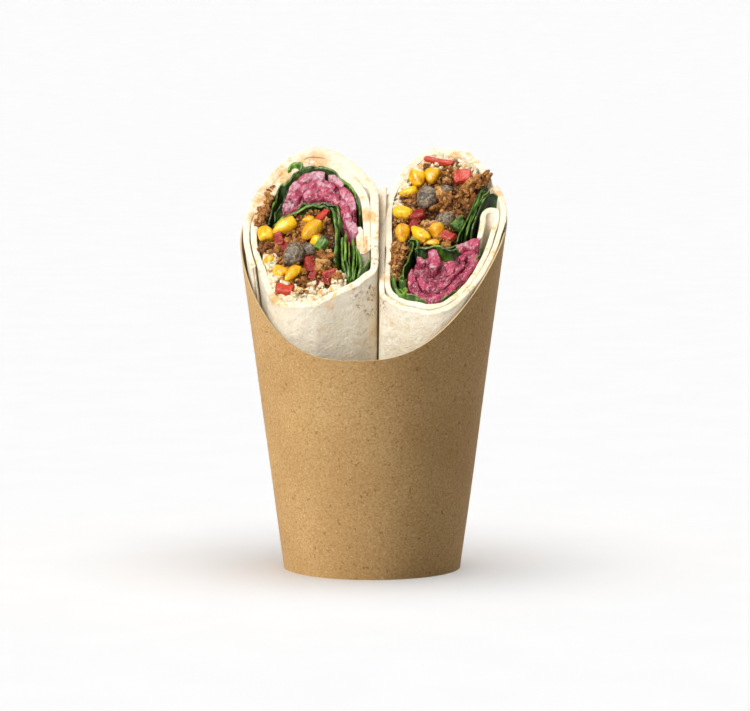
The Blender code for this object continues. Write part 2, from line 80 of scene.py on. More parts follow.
def rim_height(angle):
    """Rim height: a low point plus a rise that fades in with the angle away from it."""
    away = np.abs((angle - SCOOP_TURN + 180.0) % 360.0 - 180.0)
    return RIM_LOW + RIM_RISE * (1.0 - np.exp(-((away / RIM_SPREAD) ** RIM_POWER)))


CUP_AXIS_Y = float(cup_radius(rim_height(0.0)) - cup_radius(rim_height(180.0))) / 2.0
print("cup axis at y =", round(CUP_AXIS_Y, 2), "mm")

# %% [markdown]
# ## The camera
#
# The photograph was taken with a long lens, from 1.3 m away and 8.8 degrees above the cup's foot. A
# long lens keeps the cup's sides nearly free of perspective. The Standard view transform shows
# colours as they are painted, which suits a bright product picture on white.

# %% Camera
CAMERA_DISTANCE = 1300.0
CAMERA_RISE = 8.8
AIM_X = 1.0
AIM_HEIGHT = 72.2
LENS = 182.8

camera_data = bpy.data.cameras.new("camera")
camera_data.lens = LENS
camera_data.sensor_width = 36.0
camera_data.clip_start = 0.05
camera = bpy.data.objects.new("camera", camera_data)
bpy.context.scene.collection.objects.link(camera)
rise = math.radians(CAMERA_RISE)
camera.location = (0.0, MM * (CUP_AXIS_Y - CAMERA_DISTANCE * math.cos(rise)),
                   MM * CAMERA_DISTANCE * math.sin(rise))
aim = Vector((MM * AIM_X, MM * CUP_AXIS_Y, MM * AIM_HEIGHT)) - camera.location
camera.rotation_euler = aim.to_track_quat("-Z", "Y").to_euler()
bpy.context.scene.camera = camera
bpy.context.scene.view_settings.view_transform = "Standard"
print("camera at", [round(value, 3) for value in camera.location])

# %% [markdown]
# ## Soft noise
#
# Food is never smooth. Value noise gives each corner of a grid a fixed number and blends them, so
# the same place always gets the same bump. Its absolute value makes round lumps with sharp creases
# between them, which is how crumbs pack.

# %% Noise


def cell_value(x, y, z, seed):
    """One fixed number from -1 to 1 for each whole-number cell."""
    mixed = x * 374761393 + y * 668265263 + z * 1440662683 + seed * 1013904223
    mixed = (mixed ^ (mixed >> 13)) * 1274126177
    mixed = mixed ^ (mixed >> 16)
    return (mixed & 0xFFFFFF) / float(0x7FFFFF) - 1.0


def noise(points, size, seed=0):
    """Value noise from -1 to 1 with bumps about size apart: eight corners, blended by S-curves."""
    place = np.asarray(points, float) / size + 0.37 * seed
    cell = np.floor(place).astype(np.int64)
    part = place - cell
    part = part * part * (3.0 - 2.0 * part)
    total = np.zeros(place.shape[:-1])
    for corner in range(8):
        step = np.array([corner & 1, (corner >> 1) & 1, (corner >> 2) & 1])
        share = np.where(step == 1, part, 1.0 - part).prod(axis=-1)
        at = cell + step
        total += share * cell_value(at[..., 0], at[..., 1], at[..., 2], seed)
    return total


def rough(points, size, seed=0, octaves=3):
    """Noise added to itself at half the size and half the height, a few times."""
    total = 0.0
    for octave in range(octaves):
        total = total + noise(points, size / 2 ** octave, seed + 7 * octave) / 2 ** octave
    return total


def lumpy(points, size, seed=0, octaves=4):
    """Lumps with creases: the absolute value of noise, added at smaller and smaller sizes."""
    total = 0.0
    for octave in range(octaves):
        sheet = np.abs(noise(points, size / 1.9 ** octave, seed + 5 * octave))
        total = total + (sheet - 0.3) / 1.75 ** octave
    return total


def flat_points(points):
    """Section points as 3-D points with a zero height, for the noise."""
    points = np.asarray(points, float)
    return np.concatenate([points, np.zeros((*points.shape[:-1], 1))], axis=-1)


# %% [markdown]
# ## The section of a wrap half
#
# Every layer of a half is drawn once, on a full-size cross-section. Its outline is a wavy
# superellipse, pressed flat where it meets the other half and the cup. The section shrinks down
# the cone, and the slanted cut decides how high each point of it reaches.

# %% Wrap half
TAPER_TOP = 118.0
BULGE = 0.04
BULGE_START = 112.0
BULGE_END = 128.0
SQUEEZED_RADIUS = 44.6
SQUEEZE_SHARPNESS = 16.0
CUT_TURN = math.radians(9.0)
CUT_TRIES = 14
LAYER_GAP = 0.45
WALL_CLEAR = 0.9
LAST_TURN = 358.0
TUCK = 38.0
TONGUE_SHIFT = 0.62
SEAM_PRESS = 3.2


def polar(radius, degrees):
    """Section points from radii and angles."""
    phi = np.radians(degrees)
    return np.stack([radius * np.cos(phi), radius * np.sin(phi)], axis=-1)


@dataclass
class Half:
    """One half of the wrap. side is -1 for left and +1 for right; spin is the way of rolling."""

    label: str
    side: int
    half_width: float
    half_depth: float
    roundness: float
    waves: tuple
    to_seam: float
    seam_x: float
    axis_y: float
    cut_height: float
    cut_slope: float
    layer: float
    layer_swell: float
    spin: int
    inner_end: float
    outer_end: float
    fold_radius: float
    fold_length: float

    def __post_init__(self):
        """Work out where the half's axis stands and how steep its cut is."""
        self.axis_x = self.seam_x + self.side * self.to_seam
        self.slope = math.radians(self.cut_slope)

    def outline(self, degrees):
        """Outline radius: the softest minimum of the free shape, the seam and the cup."""
        phi = np.radians(degrees)
        across = np.abs(np.cos(phi)) / self.half_width
        along = np.abs(np.sin(phi)) / self.half_depth
        free = (across ** self.roundness + along ** self.roundness) ** (-1.0 / self.roundness)
        for order, size, place in self.waves:
            free = free * (1.0 + size * np.cos(order * (phi - math.radians(place))))
        seam = self.to_seam / np.clip(-self.side * np.cos(phi), 0.05, None)
        dot = self.axis_x * np.cos(phi) + self.axis_y * np.sin(phi)
        beyond = SQUEEZED_RADIUS ** 2 - self.axis_x ** 2 - self.axis_y ** 2
        cup = -dot + np.sqrt(dot ** 2 + beyond)
        power = -SQUEEZE_SHARPNESS
        return (free ** power + seam ** power + cup ** power) ** (1.0 / power)

    def thickness(self, degrees):
        """Tortilla thickness, a little more at the back of the roll."""
        return self.layer + self.layer_swell * np.clip(np.sin(np.radians(degrees)), 0.0, None)

    def depth(self, turned):
        """How far under the outline the outer face of the rolled tortilla lies."""
        covered = 1.0 - smooth((turned - self.outer_end + LAST_TURN) / TUCK)
        return (self.thickness(self.spin * turned) + LAYER_GAP) * covered

    def inner_face(self, degrees, inset=0.0):
        """Points just inside the roll."""
        degrees = np.asarray(degrees, float)
        turned = (self.spin * degrees - self.inner_end) % 360.0 + self.inner_end
        radius = self.outline(degrees) - self.depth(turned) - self.thickness(degrees) - inset
        return polar(radius, degrees)

    def rolled_path(self, step):
        """Centre line of the bread: a folded tongue, then one and two thirds turns of the roll.

        The last turn is pressed against the other half: its distance d from the seam becomes
        d times an S-curve of d.
        """
        start = self.inner_end
        sheet = self.thickness(self.spin * start)
        edge = self.outline(self.spin * start) - self.depth(start)
        centre = edge - sheet / 2.0 - self.fold_radius
        share = np.linspace(0.0, 1.0, 26)
        turned = start + self.fold_length * (1.0 - share)
        leg = self.outline(self.spin * turned) - self.depth(turned) - sheet / 2.0
        spare = max(0.0, self.fold_radius - sheet) / self.fold_radius
        radius = leg - 2.0 * self.fold_radius * (1.0 - TONGUE_SHIFT * (1.0 - share) * spare)
        tongue = polar(radius, self.spin * turned)
        swing = np.linspace(0.0, math.pi, 16)[1:-1]
        lead = np.degrees(self.fold_radius * np.sin(swing) / centre)
        bend = polar(centre - self.fold_radius * np.cos(swing), self.spin * (start - lead))
        turned = np.arange(start, self.outer_end, step)
        degrees = self.spin * turned
        edge = self.outline(degrees) - self.depth(turned)
        turns = polar(edge - self.thickness(degrees) / 2.0, degrees)
        gap = self.to_seam - self.thickness(degrees) / 2.0 + self.side * turns[:, 0]
        last = smooth((turned - self.outer_end + LAST_TURN) / TUCK)
        pressed = np.where(gap < SEAM_PRESS, gap * smooth(gap / SEAM_PRESS) - gap, 0.0)
        turns[:, 0] += self.side * last * pressed
        return np.concatenate([tongue, bend, turns])

    def scale(self, z):
        """How large the section is at a height: the cone's size, with a bulge over the rim."""
        small = cup_radius(np.clip(z, FLOOR, TAPER_TOP)) - WALL_CLEAR
        taper = small / (cup_radius(TAPER_TOP) - WALL_CLEAR)
        return taper * (1.0 + BULGE * smooth((z - BULGE_START) / (BULGE_END - BULGE_START)))

    def place(self, x, y, z):
        """World points of section points at a height."""
        scale = self.scale(z)
        return np.stack([scale * (self.axis_x + x), scale * (self.axis_y + y) + CUP_AXIS_Y,
                         z + 0.0 * x], axis=-1)

    def cut_z(self, x, y):
        """Height of the slanted cut over section points, found by trying again a few times."""
        z = self.cut_height + 0.0 * (x + y)
        for _ in range(CUT_TRIES):
            world = self.place(x, y, z)
            across = (world[..., 0] - self.axis_x) * math.sin(CUT_TURN)
            along = (world[..., 1] - CUP_AXIS_Y - self.axis_y) * math.cos(CUT_TURN)
            z = self.cut_height + math.tan(self.slope) * (along + across)
        return z

    def face_axes(self):
        """Unit vectors across the cut, up the cut, and out of it, as rows."""
        across = np.array([math.cos(CUT_TURN), -math.sin(CUT_TURN), 0.0])
        level = np.array([math.sin(CUT_TURN), math.cos(CUT_TURN), 0.0])
        up = level * math.cos(self.slope) + np.array([0.0, 0.0, math.sin(self.slope)])
        return np.array([across, up, np.cross(across, up)])

    def raised(self, points, amount):
        """World points moved out of the cut, each by its own amount."""
        return points + np.asarray(amount)[..., None] * self.face_axes()[2]

    def on_cut(self, x, y, lift=0.0):
        """World points on the cut, raised out of it by lift."""
        x = np.asarray(x, float)
        y = np.asarray(y, float)
        return self.raised(self.place(x, y, self.cut_z(x, y)), lift)


LEFT = Half(label="left", side=-1, half_width=24.0, half_depth=31.0, roundness=1.82,
            waves=((2, 0.15, 9.0), (3, 0.07, -26.0)), to_seam=22.8, seam_x=2.0, axis_y=-5.4,
            cut_height=113.3, cut_slope=44.4, layer=2.1, layer_swell=0.5,
            spin=1, inner_end=-18.0, outer_end=562.0, fold_radius=1.3, fold_length=20.0)
RIGHT = Half(label="right", side=1, half_width=27.2, half_depth=31.0, roundness=1.8,
             waves=((2, 0.048, 131.0), (3, 0.064, -25.0)), to_seam=20.7, seam_x=2.6, axis_y=-6.0,
             cut_height=112.1, cut_slope=40.9, layer=1.8, layer_swell=0.0,
             spin=-1, inner_end=-22.0, outer_end=590.0, fold_radius=2.3, fold_length=30.0)
for half in (LEFT, RIGHT):
    print(half.label, "half reaches", round(float(half.on_cut(0.0, 28.0)[2]), 1), "mm at the back")

# %% [markdown]
# ## From arrays to meshes
#
# One helper puts points and faces into a mesh. It also turns a shape that came out inside out, by
# the sign of its volume, and stores values for the materials, one for each point.

# %% Mesh helper


def enclosed(points, faces):
    """Signed volume: each face's fan of triangles against the middle."""
    corners = (points - points.mean(axis=0))[faces]
    total = 0.0
    for k in range(1, faces.shape[1] - 1):
        normals = np.cross(corners[:, k], corners[:, k + 1])
        total += np.einsum("ij,ij->i", corners[:, 0], normals).sum()
    return total / 6.0


def make_piece(name, points, faces, finish, replaced=(), crisp=False, **values):
    """A mesh piece from points in mm and an array of faces with equally many corners."""
    points = np.asarray(points, float).reshape(-1, 3)
    faces = np.asarray(faces)
    if enclosed(points, faces) < 0.0:
        faces = faces[:, ::-1]
    corners = faces.shape[1]
    mesh = bpy.data.meshes.new(name)
    mesh.vertices.add(len(points))
    mesh.vertices.foreach_set("co", (points * MM).ravel())
    mesh.loops.add(faces.size)
    mesh.loops.foreach_set("vertex_index", faces.ravel().astype(np.int32))
    mesh.polygons.add(len(faces))
    mesh.polygons.foreach_set("loop_start", np.arange(0, faces.size, corners, dtype=np.int32))
    mesh.update(calc_edges=True)
    mesh.validate()
    if not crisp:
        mesh.shade_smooth()
    for key, value in values.items():
        store = mesh.attributes.new(key, "FLOAT", "POINT")
        store.data.foreach_set("value", np.asarray(value, np.float32).ravel())
    mesh.materials.append(finish["material"])
    piece = bpy.data.objects.new(name, mesh)
    bpy.context.scene.collection.objects.link(piece)
    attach(piece, "root")
    if replaced:
        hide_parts(*replaced)
    print(name, "has", len(faces) * (corners - 2), "triangles")
    return piece


def grid_faces(rows, columns):
    """Quads of a grid whose columns run round."""
    row, column = np.meshgrid(np.arange(rows - 1), np.arange(columns), indexing="ij")
    following = (column + 1) % columns
    quads = np.stack([row * columns + column, row * columns + following,
                      (row + 1) * columns + following, (row + 1) * columns + column], axis=-1)
    return quads.reshape(-1, 4)


def as_triangles(quads):
    """Each quad as two triangles; a triangle that uses a point twice is left out."""
    faces = np.concatenate([quads[:, [0, 1, 2]], quads[:, [0, 2, 3]]])
    twice = (faces == np.roll(faces, 1, axis=1)).any(axis=1)
    return faces[~twice]


# %% [markdown]
# ## How the materials are built
#
# Every finish is painted in layers, as on a model: a base colour, then spots, streaks or flour over
# it. Each layer shows where noise of a real size passes a level, or where the mesh stores a value.
# Colours are the hex values that a paint program shows, and one function turns them to linear.

# %% Material helpers
EVEN = (1.0, 1.0, 1.0)


def linear(colour):
    """sRGB hex to linear RGBA."""
    parts = [int(colour[i:i + 2], 16) / 255.0 for i in (1, 3, 5)]
    light = [p / 12.92 if p <= 0.04045 else ((p + 0.055) / 1.055) ** 2.4 for p in parts]
    return (*light, 1.0)


def add_node(tree, kind, inputs=None, **settings):
    """Add one node: settings go on the node, and each input is linked or set."""
    node = tree.nodes.new(kind)
    for key, value in settings.items():
        setattr(node, key, value)
    for key, value in (inputs or {}).items():
        if isinstance(value, bpy.types.NodeSocket):
            tree.links.new(value, node.inputs[key])
        else:
            node.inputs[key].default_value = value
    return node


def start_finish(name, slot, base, **shader_inputs):
    """A material for a slot, its Principled shader's own sockets set, ready for layers."""
    material = bpy.data.materials.new(name)
    material.use_nodes = True
    tree = material.node_tree
    shader = tree.nodes["Principled BSDF"]
    for key, value in shader_inputs.items():
        shader.inputs[key.replace("_", " ")].default_value = value
    shader.inputs["Base Color"].default_value = linear(base)
    place = add_node(tree, "ShaderNodeTexCoord").outputs["Object"]
    return {"material": material, "slot": slot, "tree": tree, "shader": shader, "place": place,
            "colour": linear(base)}


def grain(finish, size_mm, low, high, detail, stretch):
    """A mask: noise with grains size_mm apart, softly cut to 0 below low and 1 above high."""
    tree = finish["tree"]
    place = add_node(tree, "ShaderNodeMapping", {"Vector": finish["place"], "Scale": stretch})
    pattern = add_node(tree, "ShaderNodeTexNoise",
                       {"Vector": place.outputs[0], "Scale": 1000.0 / size_mm, "Detail": detail,
                        "Roughness": 0.6})
    return add_node(tree, "ShaderNodeMapRange",
                    {"Value": pattern.outputs["Fac"], "From Min": low, "From Max": high},
                    interpolation_type="SMOOTHSTEP").outputs["Result"]


def layer(finish, colour, amount, size_mm=None, low=0.4, high=0.6, detail=3.0, stretch=EVEN,
          held=None):
    """Paint a colour over the layers below.

    Its strength is amount, times the grain where size_mm is given, times a value that the mesh
    holds. held is the name of that value, where it starts to show and where it shows in full.
    """
    tree = finish["tree"]
    strength = amount
    if size_mm:
        mask = grain(finish, size_mm, low, high, detail, stretch)
        strength = add_node(tree, "ShaderNodeMath", {0: mask, 1: strength},
                            operation="MULTIPLY").outputs[0]
    if held:
        name, start, full = held
        value = add_node(tree, "ShaderNodeAttribute", attribute_name=name).outputs["Fac"]
        value = add_node(tree, "ShaderNodeMapRange",
                         {"Value": value, "From Min": start, "From Max": full},
                         interpolation_type="SMOOTHSTEP").outputs["Result"]
        strength = add_node(tree, "ShaderNodeMath", {0: value, 1: strength},
                            operation="MULTIPLY").outputs[0]
    mix = add_node(tree, "ShaderNodeMix", {0: strength, 6: finish["colour"], 7: linear(colour)},
                   data_type="RGBA")
    finish["colour"] = mix.outputs[2]
    tree.links.new(mix.outputs[2], finish["shader"].inputs["Base Color"])


def relief(finish, size_mm, depth_mm, strength=1.0, detail=3.0, stretch=EVEN):
    """Fine bumps from noise with grains size_mm apart, on top of any bumps already there."""
    tree = finish["tree"]
    height = grain(finish, size_mm, 0.25, 0.75, detail, stretch)
    inputs = {"Height": height, "Strength": strength, "Distance": depth_mm * MM}
    if "normal" in finish:
        inputs["Normal"] = finish["normal"]
    finish["normal"] = add_node(tree, "ShaderNodeBump", inputs).outputs["Normal"]
    tree.links.new(finish["normal"], finish["shader"].inputs["Normal"])


def gloss(finish, wet, dry, size_mm):
    """Roughness that changes from wet to dry in patches size_mm apart."""
    mask = grain(finish, size_mm, 0.4, 0.62, 2.0, EVEN)
    value = add_node(finish["tree"], "ShaderNodeMapRange",
                     {"Value": mask, "To Min": wet, "To Max": dry}).outputs["Result"]
    finish["tree"].links.new(value, finish["shader"].inputs["Roughness"])


# %% [markdown]
# Kraft board is unbleached paper. Its brown fibres and darker specks of bark show on the uncoated,
# matte face. The fibres are drawn near a millimetre long, coarser than real ones, so that they show.

# %% Kraft board
kraft = start_finish("unbleached_kraft_board", "kraft_paper", "#96774D", Roughness=0.9,
                     Specular_IOR_Level=0.2)
layer(kraft, "#9F8156", 1.0, 30.0, 0.35, 0.7, 2.0)
layer(kraft, "#836236", 0.6, 0.9, 0.42, 0.62, 4.0, (1.0, 1.0, 1.5))
layer(kraft, "#B39870", 0.5, 1.1, 0.56, 0.7, 3.0, (1.4, 1.4, 1.0))
layer(kraft, "#5E401F", 0.6, 1.5, 0.62, 0.72, 2.0)
layer(kraft, "#B8A27C", 0.9, held=("cut", 0.0, 1.0))
# Painted shade: a thin dark line along the edge of the glued overlap, where its step would shade the board.
layer(kraft, "#54391C", 0.75, held=("seam", 0.0, 1.0))
relief(kraft, 0.8, 0.1, 0.5)

# %% [markdown]
# Wheat tortilla is rolled dough, baked on a hot plate. Its face is floury and matte, with tan
# blisters where it touched the plate. Juice and oil stain the cut edge yellow and orange.

# %% Tortilla
bread = start_finish("baked_wheat_tortilla", "tortilla_bread", "#E5DBC6", Roughness=0.75,
                     Specular_IOR_Level=0.25, Subsurface_Weight=0.1, Subsurface_Scale=0.0015)
layer(bread, "#DBCDAF", 0.8, 12.0, 0.4, 0.75, 4.0)
layer(bread, "#EFE8D6", 0.7, 3.4, 0.5, 0.7)
layer(bread, "#CBB588", 0.45, 1.8, 0.52, 0.72)
layer(bread, "#CFA768", 0.4, 5.5, 0.6, 0.76)
# The toast value also holds painted shade: the dark line of a slit and a darker band by the seam.
layer(bread, "#D2A566", 0.75, 3.4, 0.3, 0.55, held=("toast", 0.05, 0.6))
layer(bread, "#A2682E", 0.65, 1.6, 0.42, 0.62, held=("toast", 0.45, 1.1))
layer(bread, "#8A4A1C", 0.8, 1.3, 0.5, 0.62, held=("freckle", 0.0, 1.0))
layer(bread, "#DDA954", 0.75, 1.6, 0.48, 0.64, held=("stain", 0.0, 1.0))
relief(bread, 5.0, 0.35, 0.6)
relief(bread, 0.8, 0.12, 0.7)

# %% [markdown]
# Crumbled falafel is fried chickpea mash: rough brown crumbs, some dark and oily, some pale inside.
# Each crumb holds its own shade, darker in its dents by painted shade, and grit of half a millimetre breaks
# it up.

# %% Falafel crumb
crumb = start_finish("fried_chickpea_crumb", "crumbled_falafel", "#3A1C08",
                     Specular_IOR_Level=0.3)
layer(crumb, "#7C4716", 1.0, held=("shade", 0.0, 0.4))
layer(crumb, "#B07430", 1.0, held=("shade", 0.4, 0.75))
layer(crumb, "#D6A666", 1.0, held=("shade", 0.78, 1.05))
layer(crumb, "#C58A46", 0.55, 0.9, 0.5, 0.64)
layer(crumb, "#4A230D", 0.7, 1.7, 0.52, 0.66)
layer(crumb, "#B4601F", 0.4, 3.6, 0.52, 0.7)
layer(crumb, "#E2C08A", 0.6, 0.8, 0.58, 0.68)
gloss(crumb, 0.45, 0.85, 2.0)
relief(crumb, 1.0, 0.3, 1.0)
relief(crumb, 0.4, 0.12, 0.8)

# %% [markdown]
# Sweetcorn has a thin glossy skin over a juicy inside. Black beans lose some skin and show a
# beige inside in flecks. Red pepper is wet, with an orange tone where it is cut thin.

# %% Sweetcorn, beans and pepper
corn = start_finish("boiled_sweetcorn", "crumbled_falafel", "#DFA404", Roughness=0.35,
                    Coat_Weight=0.25, Coat_Roughness=0.12, Subsurface_Weight=0.15, Subsurface_Scale=0.0015)
layer(corn, "#EEBB08", 1.0, held=("shade", 0.3, 0.9))
layer(corn, "#C97F05", 0.75, 3.0, 0.5, 0.68, 2.0)
layer(corn, "#F5D040", 0.4, 2.0, 0.6, 0.72, 2.0)
layer(corn, "#9C5A08", 0.6, 1.1, 0.64, 0.74)
relief(corn, 1.8, 0.3, 0.5)

bean = start_finish("cooked_black_bean", "crumbled_falafel", "#463D38", Roughness=0.45,
                    Specular_IOR_Level=0.4)
layer(bean, "#6E6152", 0.9, 3.6, 0.42, 0.62)
layer(bean, "#A08C6C", 0.8, 1.0, 0.45, 0.6, 4.0)
layer(bean, "#2A2224", 0.7, 2.2, 0.58, 0.7)
relief(bean, 0.9, 0.15, 0.8)

pepper = start_finish("diced_red_pepper", "crumbled_falafel", "#8C1205", Roughness=0.4,
                      Coat_Weight=0.2, Coat_Roughness=0.1, Subsurface_Weight=0.1, Subsurface_Scale=0.001)
layer(pepper, "#C2330F", 1.0, held=("shade", 0.2, 0.9))
layer(pepper, "#CE5426", 0.45, 1.6, 0.52, 0.68)
layer(pepper, "#5E0B06", 0.7, 2.2, 0.54, 0.68)
relief(pepper, 1.2, 0.3, 0.8)

# %% [markdown]
# Pickled onion is translucent: vinegar and its own juice colour it from pale lilac to magenta.
# Light scattered under the surface and a wet coat carry that look. Spinach is dark and waxy, with
# paler veins and a bright cut edge. Soft cheese is matte and cloudy, stained by the oil.

# %% Onion, spinach and soft cheese
onion = start_finish("pickled_red_onion", "pickled_onion", "#7C1030", Roughness=0.25,
                     Coat_Weight=0.4, Coat_Roughness=0.12, Subsurface_Weight=0.3, Subsurface_Scale=0.0018)
layer(onion, "#AE3A58", 1.0, held=("shade", 0.05, 0.45))
layer(onion, "#C0909C", 1.0, held=("shade", 0.6, 1.0))
layer(onion, "#C2566E", 0.7, 1.6, 0.5, 0.64)
layer(onion, "#861A38", 0.6, 2.8, 0.54, 0.7)
layer(onion, "#E3B8C0", 0.55, 0.9, 0.58, 0.7)
relief(onion, 1.6, 0.4, 0.8)
relief(onion, 0.6, 0.12, 0.8)

spinach = start_finish("raw_spinach_leaf", "spinach_leaf", "#1A2F08", Roughness=0.35,
                       Coat_Weight=0.12, Coat_Roughness=0.2, Subsurface_Weight=0.05, Subsurface_Scale=0.001)
layer(spinach, "#345410", 1.0, held=("shade", 0.1, 0.55))
layer(spinach, "#638A1E", 1.0, held=("shade", 0.6, 1.0))
layer(spinach, "#6E9430", 0.55, 3.2, 0.55, 0.66, 4.0, (1.0, 1.0, 0.4))
layer(spinach, "#0E2108", 0.6, 4.2, 0.5, 0.68, 3.0)
layer(spinach, "#74962C", 0.8, 2.4, 0.35, 0.6, held=("edge", 0.2, 1.0))
relief(spinach, 2.4, 0.4, 0.8, 3.0, (1.0, 1.0, 0.5))

cheese = start_finish("whipped_soft_cheese", "soft_cheese", "#F0E5C8", Roughness=0.55,
                      Subsurface_Weight=0.15, Subsurface_Scale=0.0015)
layer(cheese, "#E3CE9C", 0.8, 3.0, 0.45, 0.7)
layer(cheese, "#DB9638", 0.8, 2.2, 0.5, 0.64)
layer(cheese, "#9A6A38", 0.5, 1.5, 0.62, 0.72)
relief(cheese, 1.2, 0.5, 1.0)
print("finishes:", [finish["material"].name for finish in (kraft, bread, crumb, corn, bean, pepper,
                                                           onion, spinach, cheese)])

CAD_NAMES = {"tortilla_bread": "tortilla_", "crumbled_falafel": "falafel_filling_",
             "pickled_onion": "pickled_onion_", "soft_cheese": "soft_cheese_"}


def stood_for(finish, half):
    """The CAD node that pieces of this finish stand for in one half."""
    return [CAD_NAMES[finish["slot"]] + half.label]


# %% [markdown]
# ## The cup
#
# The real cup is one blank of board, wrapped to a cone and glued in an overlap at the back. The
# surface is a grid: one way runs round the cup, the other runs up the outer face, over the cut
# rim, down the inner face and round the folded hem. The overlap is a step of most of a sheet, and a
# darker line of painted shade runs along its edge, where the step would shade the board.

# %% Cup surface
CUP_ANGLES = 480
CUP_ROWS = 34
EDGE_ROWS = 4
HEM_HEIGHT = 6.4
HEM_GAP = 1.8
OVERLAP_AT = 176.0
OVERLAP_WIDTH = 12.0
OVERLAP_STEP = 0.8
OVERLAP_FADE = 9.0
SEAM_LINE = 0.6
DENT_DEPTH = 0.22
DENT_SIZE = 34.0


def cup_profile(angle):
    """Radius and height up, over and down the wall, for one angle a row."""
    rim = rim_height(angle)[:, None]
    rows = np.linspace(0.0, 1.0, CUP_ROWS)[None, :]
    outer = np.stack([cup_radius(rim * rows), rim * rows], axis=-1)
    swing = np.linspace(0.2, 0.8, EDGE_ROWS)[None, :] * math.pi
    edge_r = cup_radius(rim) - PAPER / 2.0 + PAPER / 2.0 * np.cos(swing)
    edge = np.stack([edge_r, rim + 0.12 * np.sin(swing)], axis=-1)
    down = PAPER + (rim - PAPER) * rows[:, ::-1]
    inner = np.stack([cup_radius(down) - PAPER, down], axis=-1)
    hem = np.array([
        (cup_radius(PAPER) - PAPER - HEM_GAP, PAPER),
        (cup_radius(HEM_HEIGHT) - PAPER - HEM_GAP, HEM_HEIGHT),
        (cup_radius(HEM_HEIGHT) - 2.0 * PAPER - HEM_GAP, HEM_HEIGHT),
        (cup_radius(0.0) - 2.0 * PAPER - HEM_GAP, 0.0),
    ])
    hem = np.broadcast_to(hem, (len(angle), *hem.shape))
    profile = np.concatenate([outer, edge, inner, hem], axis=1)
    cut = np.zeros(profile.shape[:2])
    cut[:, CUP_ROWS:CUP_ROWS + EDGE_ROWS] = 1.0
    return profile, cut


def cup_points():
    """Turn the profile round the axis, dent it a little and lift the glued overlap."""
    angle = np.arange(CUP_ANGLES) * 360.0 / CUP_ANGLES
    profile, cut = cup_profile(angle)
    turn = np.radians(angle)[:, None]
    out = np.stack([np.sin(turn), -np.cos(turn), 0.0 * turn], axis=-1)
    points = out * profile[..., :1] + np.array([0.0, 0.0, 1.0]) * profile[..., 1:]
    from_seam = (angle - OVERLAP_AT)[:, None]
    lap = smooth((from_seam + OVERLAP_WIDTH) / 0.8) * (1.0 - smooth(from_seam / OVERLAP_FADE))
    outside = np.arange(profile.shape[1])[None, :] < CUP_ROWS + EDGE_ROWS // 2
    dents = DENT_DEPTH * noise(points, DENT_SIZE, 3) * smooth(points[..., 2] / 25.0)
    points = points + (OVERLAP_STEP * PAPER * lap * outside + dents)[..., None] * out
    points[..., 1] += CUP_AXIS_Y
    # Painted shade: a thin line along the overlap's edge, where the step would cast it.
    seam = np.exp(-((from_seam + OVERLAP_WIDTH) / SEAM_LINE) ** 2) * outside
    return points, cut, seam


points, cut, seam = cup_points()
faces = grid_faces(CUP_ANGLES + 1, points.shape[1]) % (CUP_ANGLES * points.shape[1])
cup = make_piece("kraft_cup_wall", points, faces, kraft, ["cup_wall"], cut=cut, seam=seam)
cup.data.set_sharp_from_angle(angle=math.radians(40.0))
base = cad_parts["cup_base"]
base.data.materials.clear()
base.data.materials.append(kraft["material"])

# %% [markdown]
# ## Bands that stand in the wrap
#
# The tortilla, the leaves, the cheese and the onion slices are all bands: they follow a path on
# the section and stand up to the cut. The band's profile runs up one face, over a rounded top
# edge and down the other face.

# %% Standing band
BAND_CROWDING = 2.2
FLARE_DEPTH = 1.6
FLOOR_CLEAR = 0.1


def resample(curve, spacing):
    """Points at even steps along a fine polyline."""
    steps = np.linalg.norm(np.diff(curve, axis=0), axis=1)
    length = np.concatenate([[0.0], np.cumsum(steps)])
    wanted = np.linspace(0.0, length[-1], max(4, int(length[-1] / spacing) + 1))
    return np.stack([np.interp(wanted, length, curve[:, k]) for k in (0, 1)], axis=-1)


def even_path(points, spacing):
    """A smooth Catmull-Rom curve through a few points, resampled to even steps."""
    points = np.asarray(points, float)
    before = np.concatenate([points[:1], points[:-1]])[:-1]
    after = np.concatenate([points[1:], points[-1:]])[1:]
    t = np.linspace(0.0, 1.0, 24, endpoint=False)[None, :, None]
    start, end, before, after = (p[:, None, :] for p in (points[:-1], points[1:], before, after))
    bend = 2.0 * before - 5.0 * start + 4.0 * end - after
    swing = 3.0 * start - before - 3.0 * end + after
    curve = start + 0.5 * t * ((end - before) + t * (bend + t * swing))
    return resample(np.concatenate([curve.reshape(-1, 2), points[-1:]]), spacing)


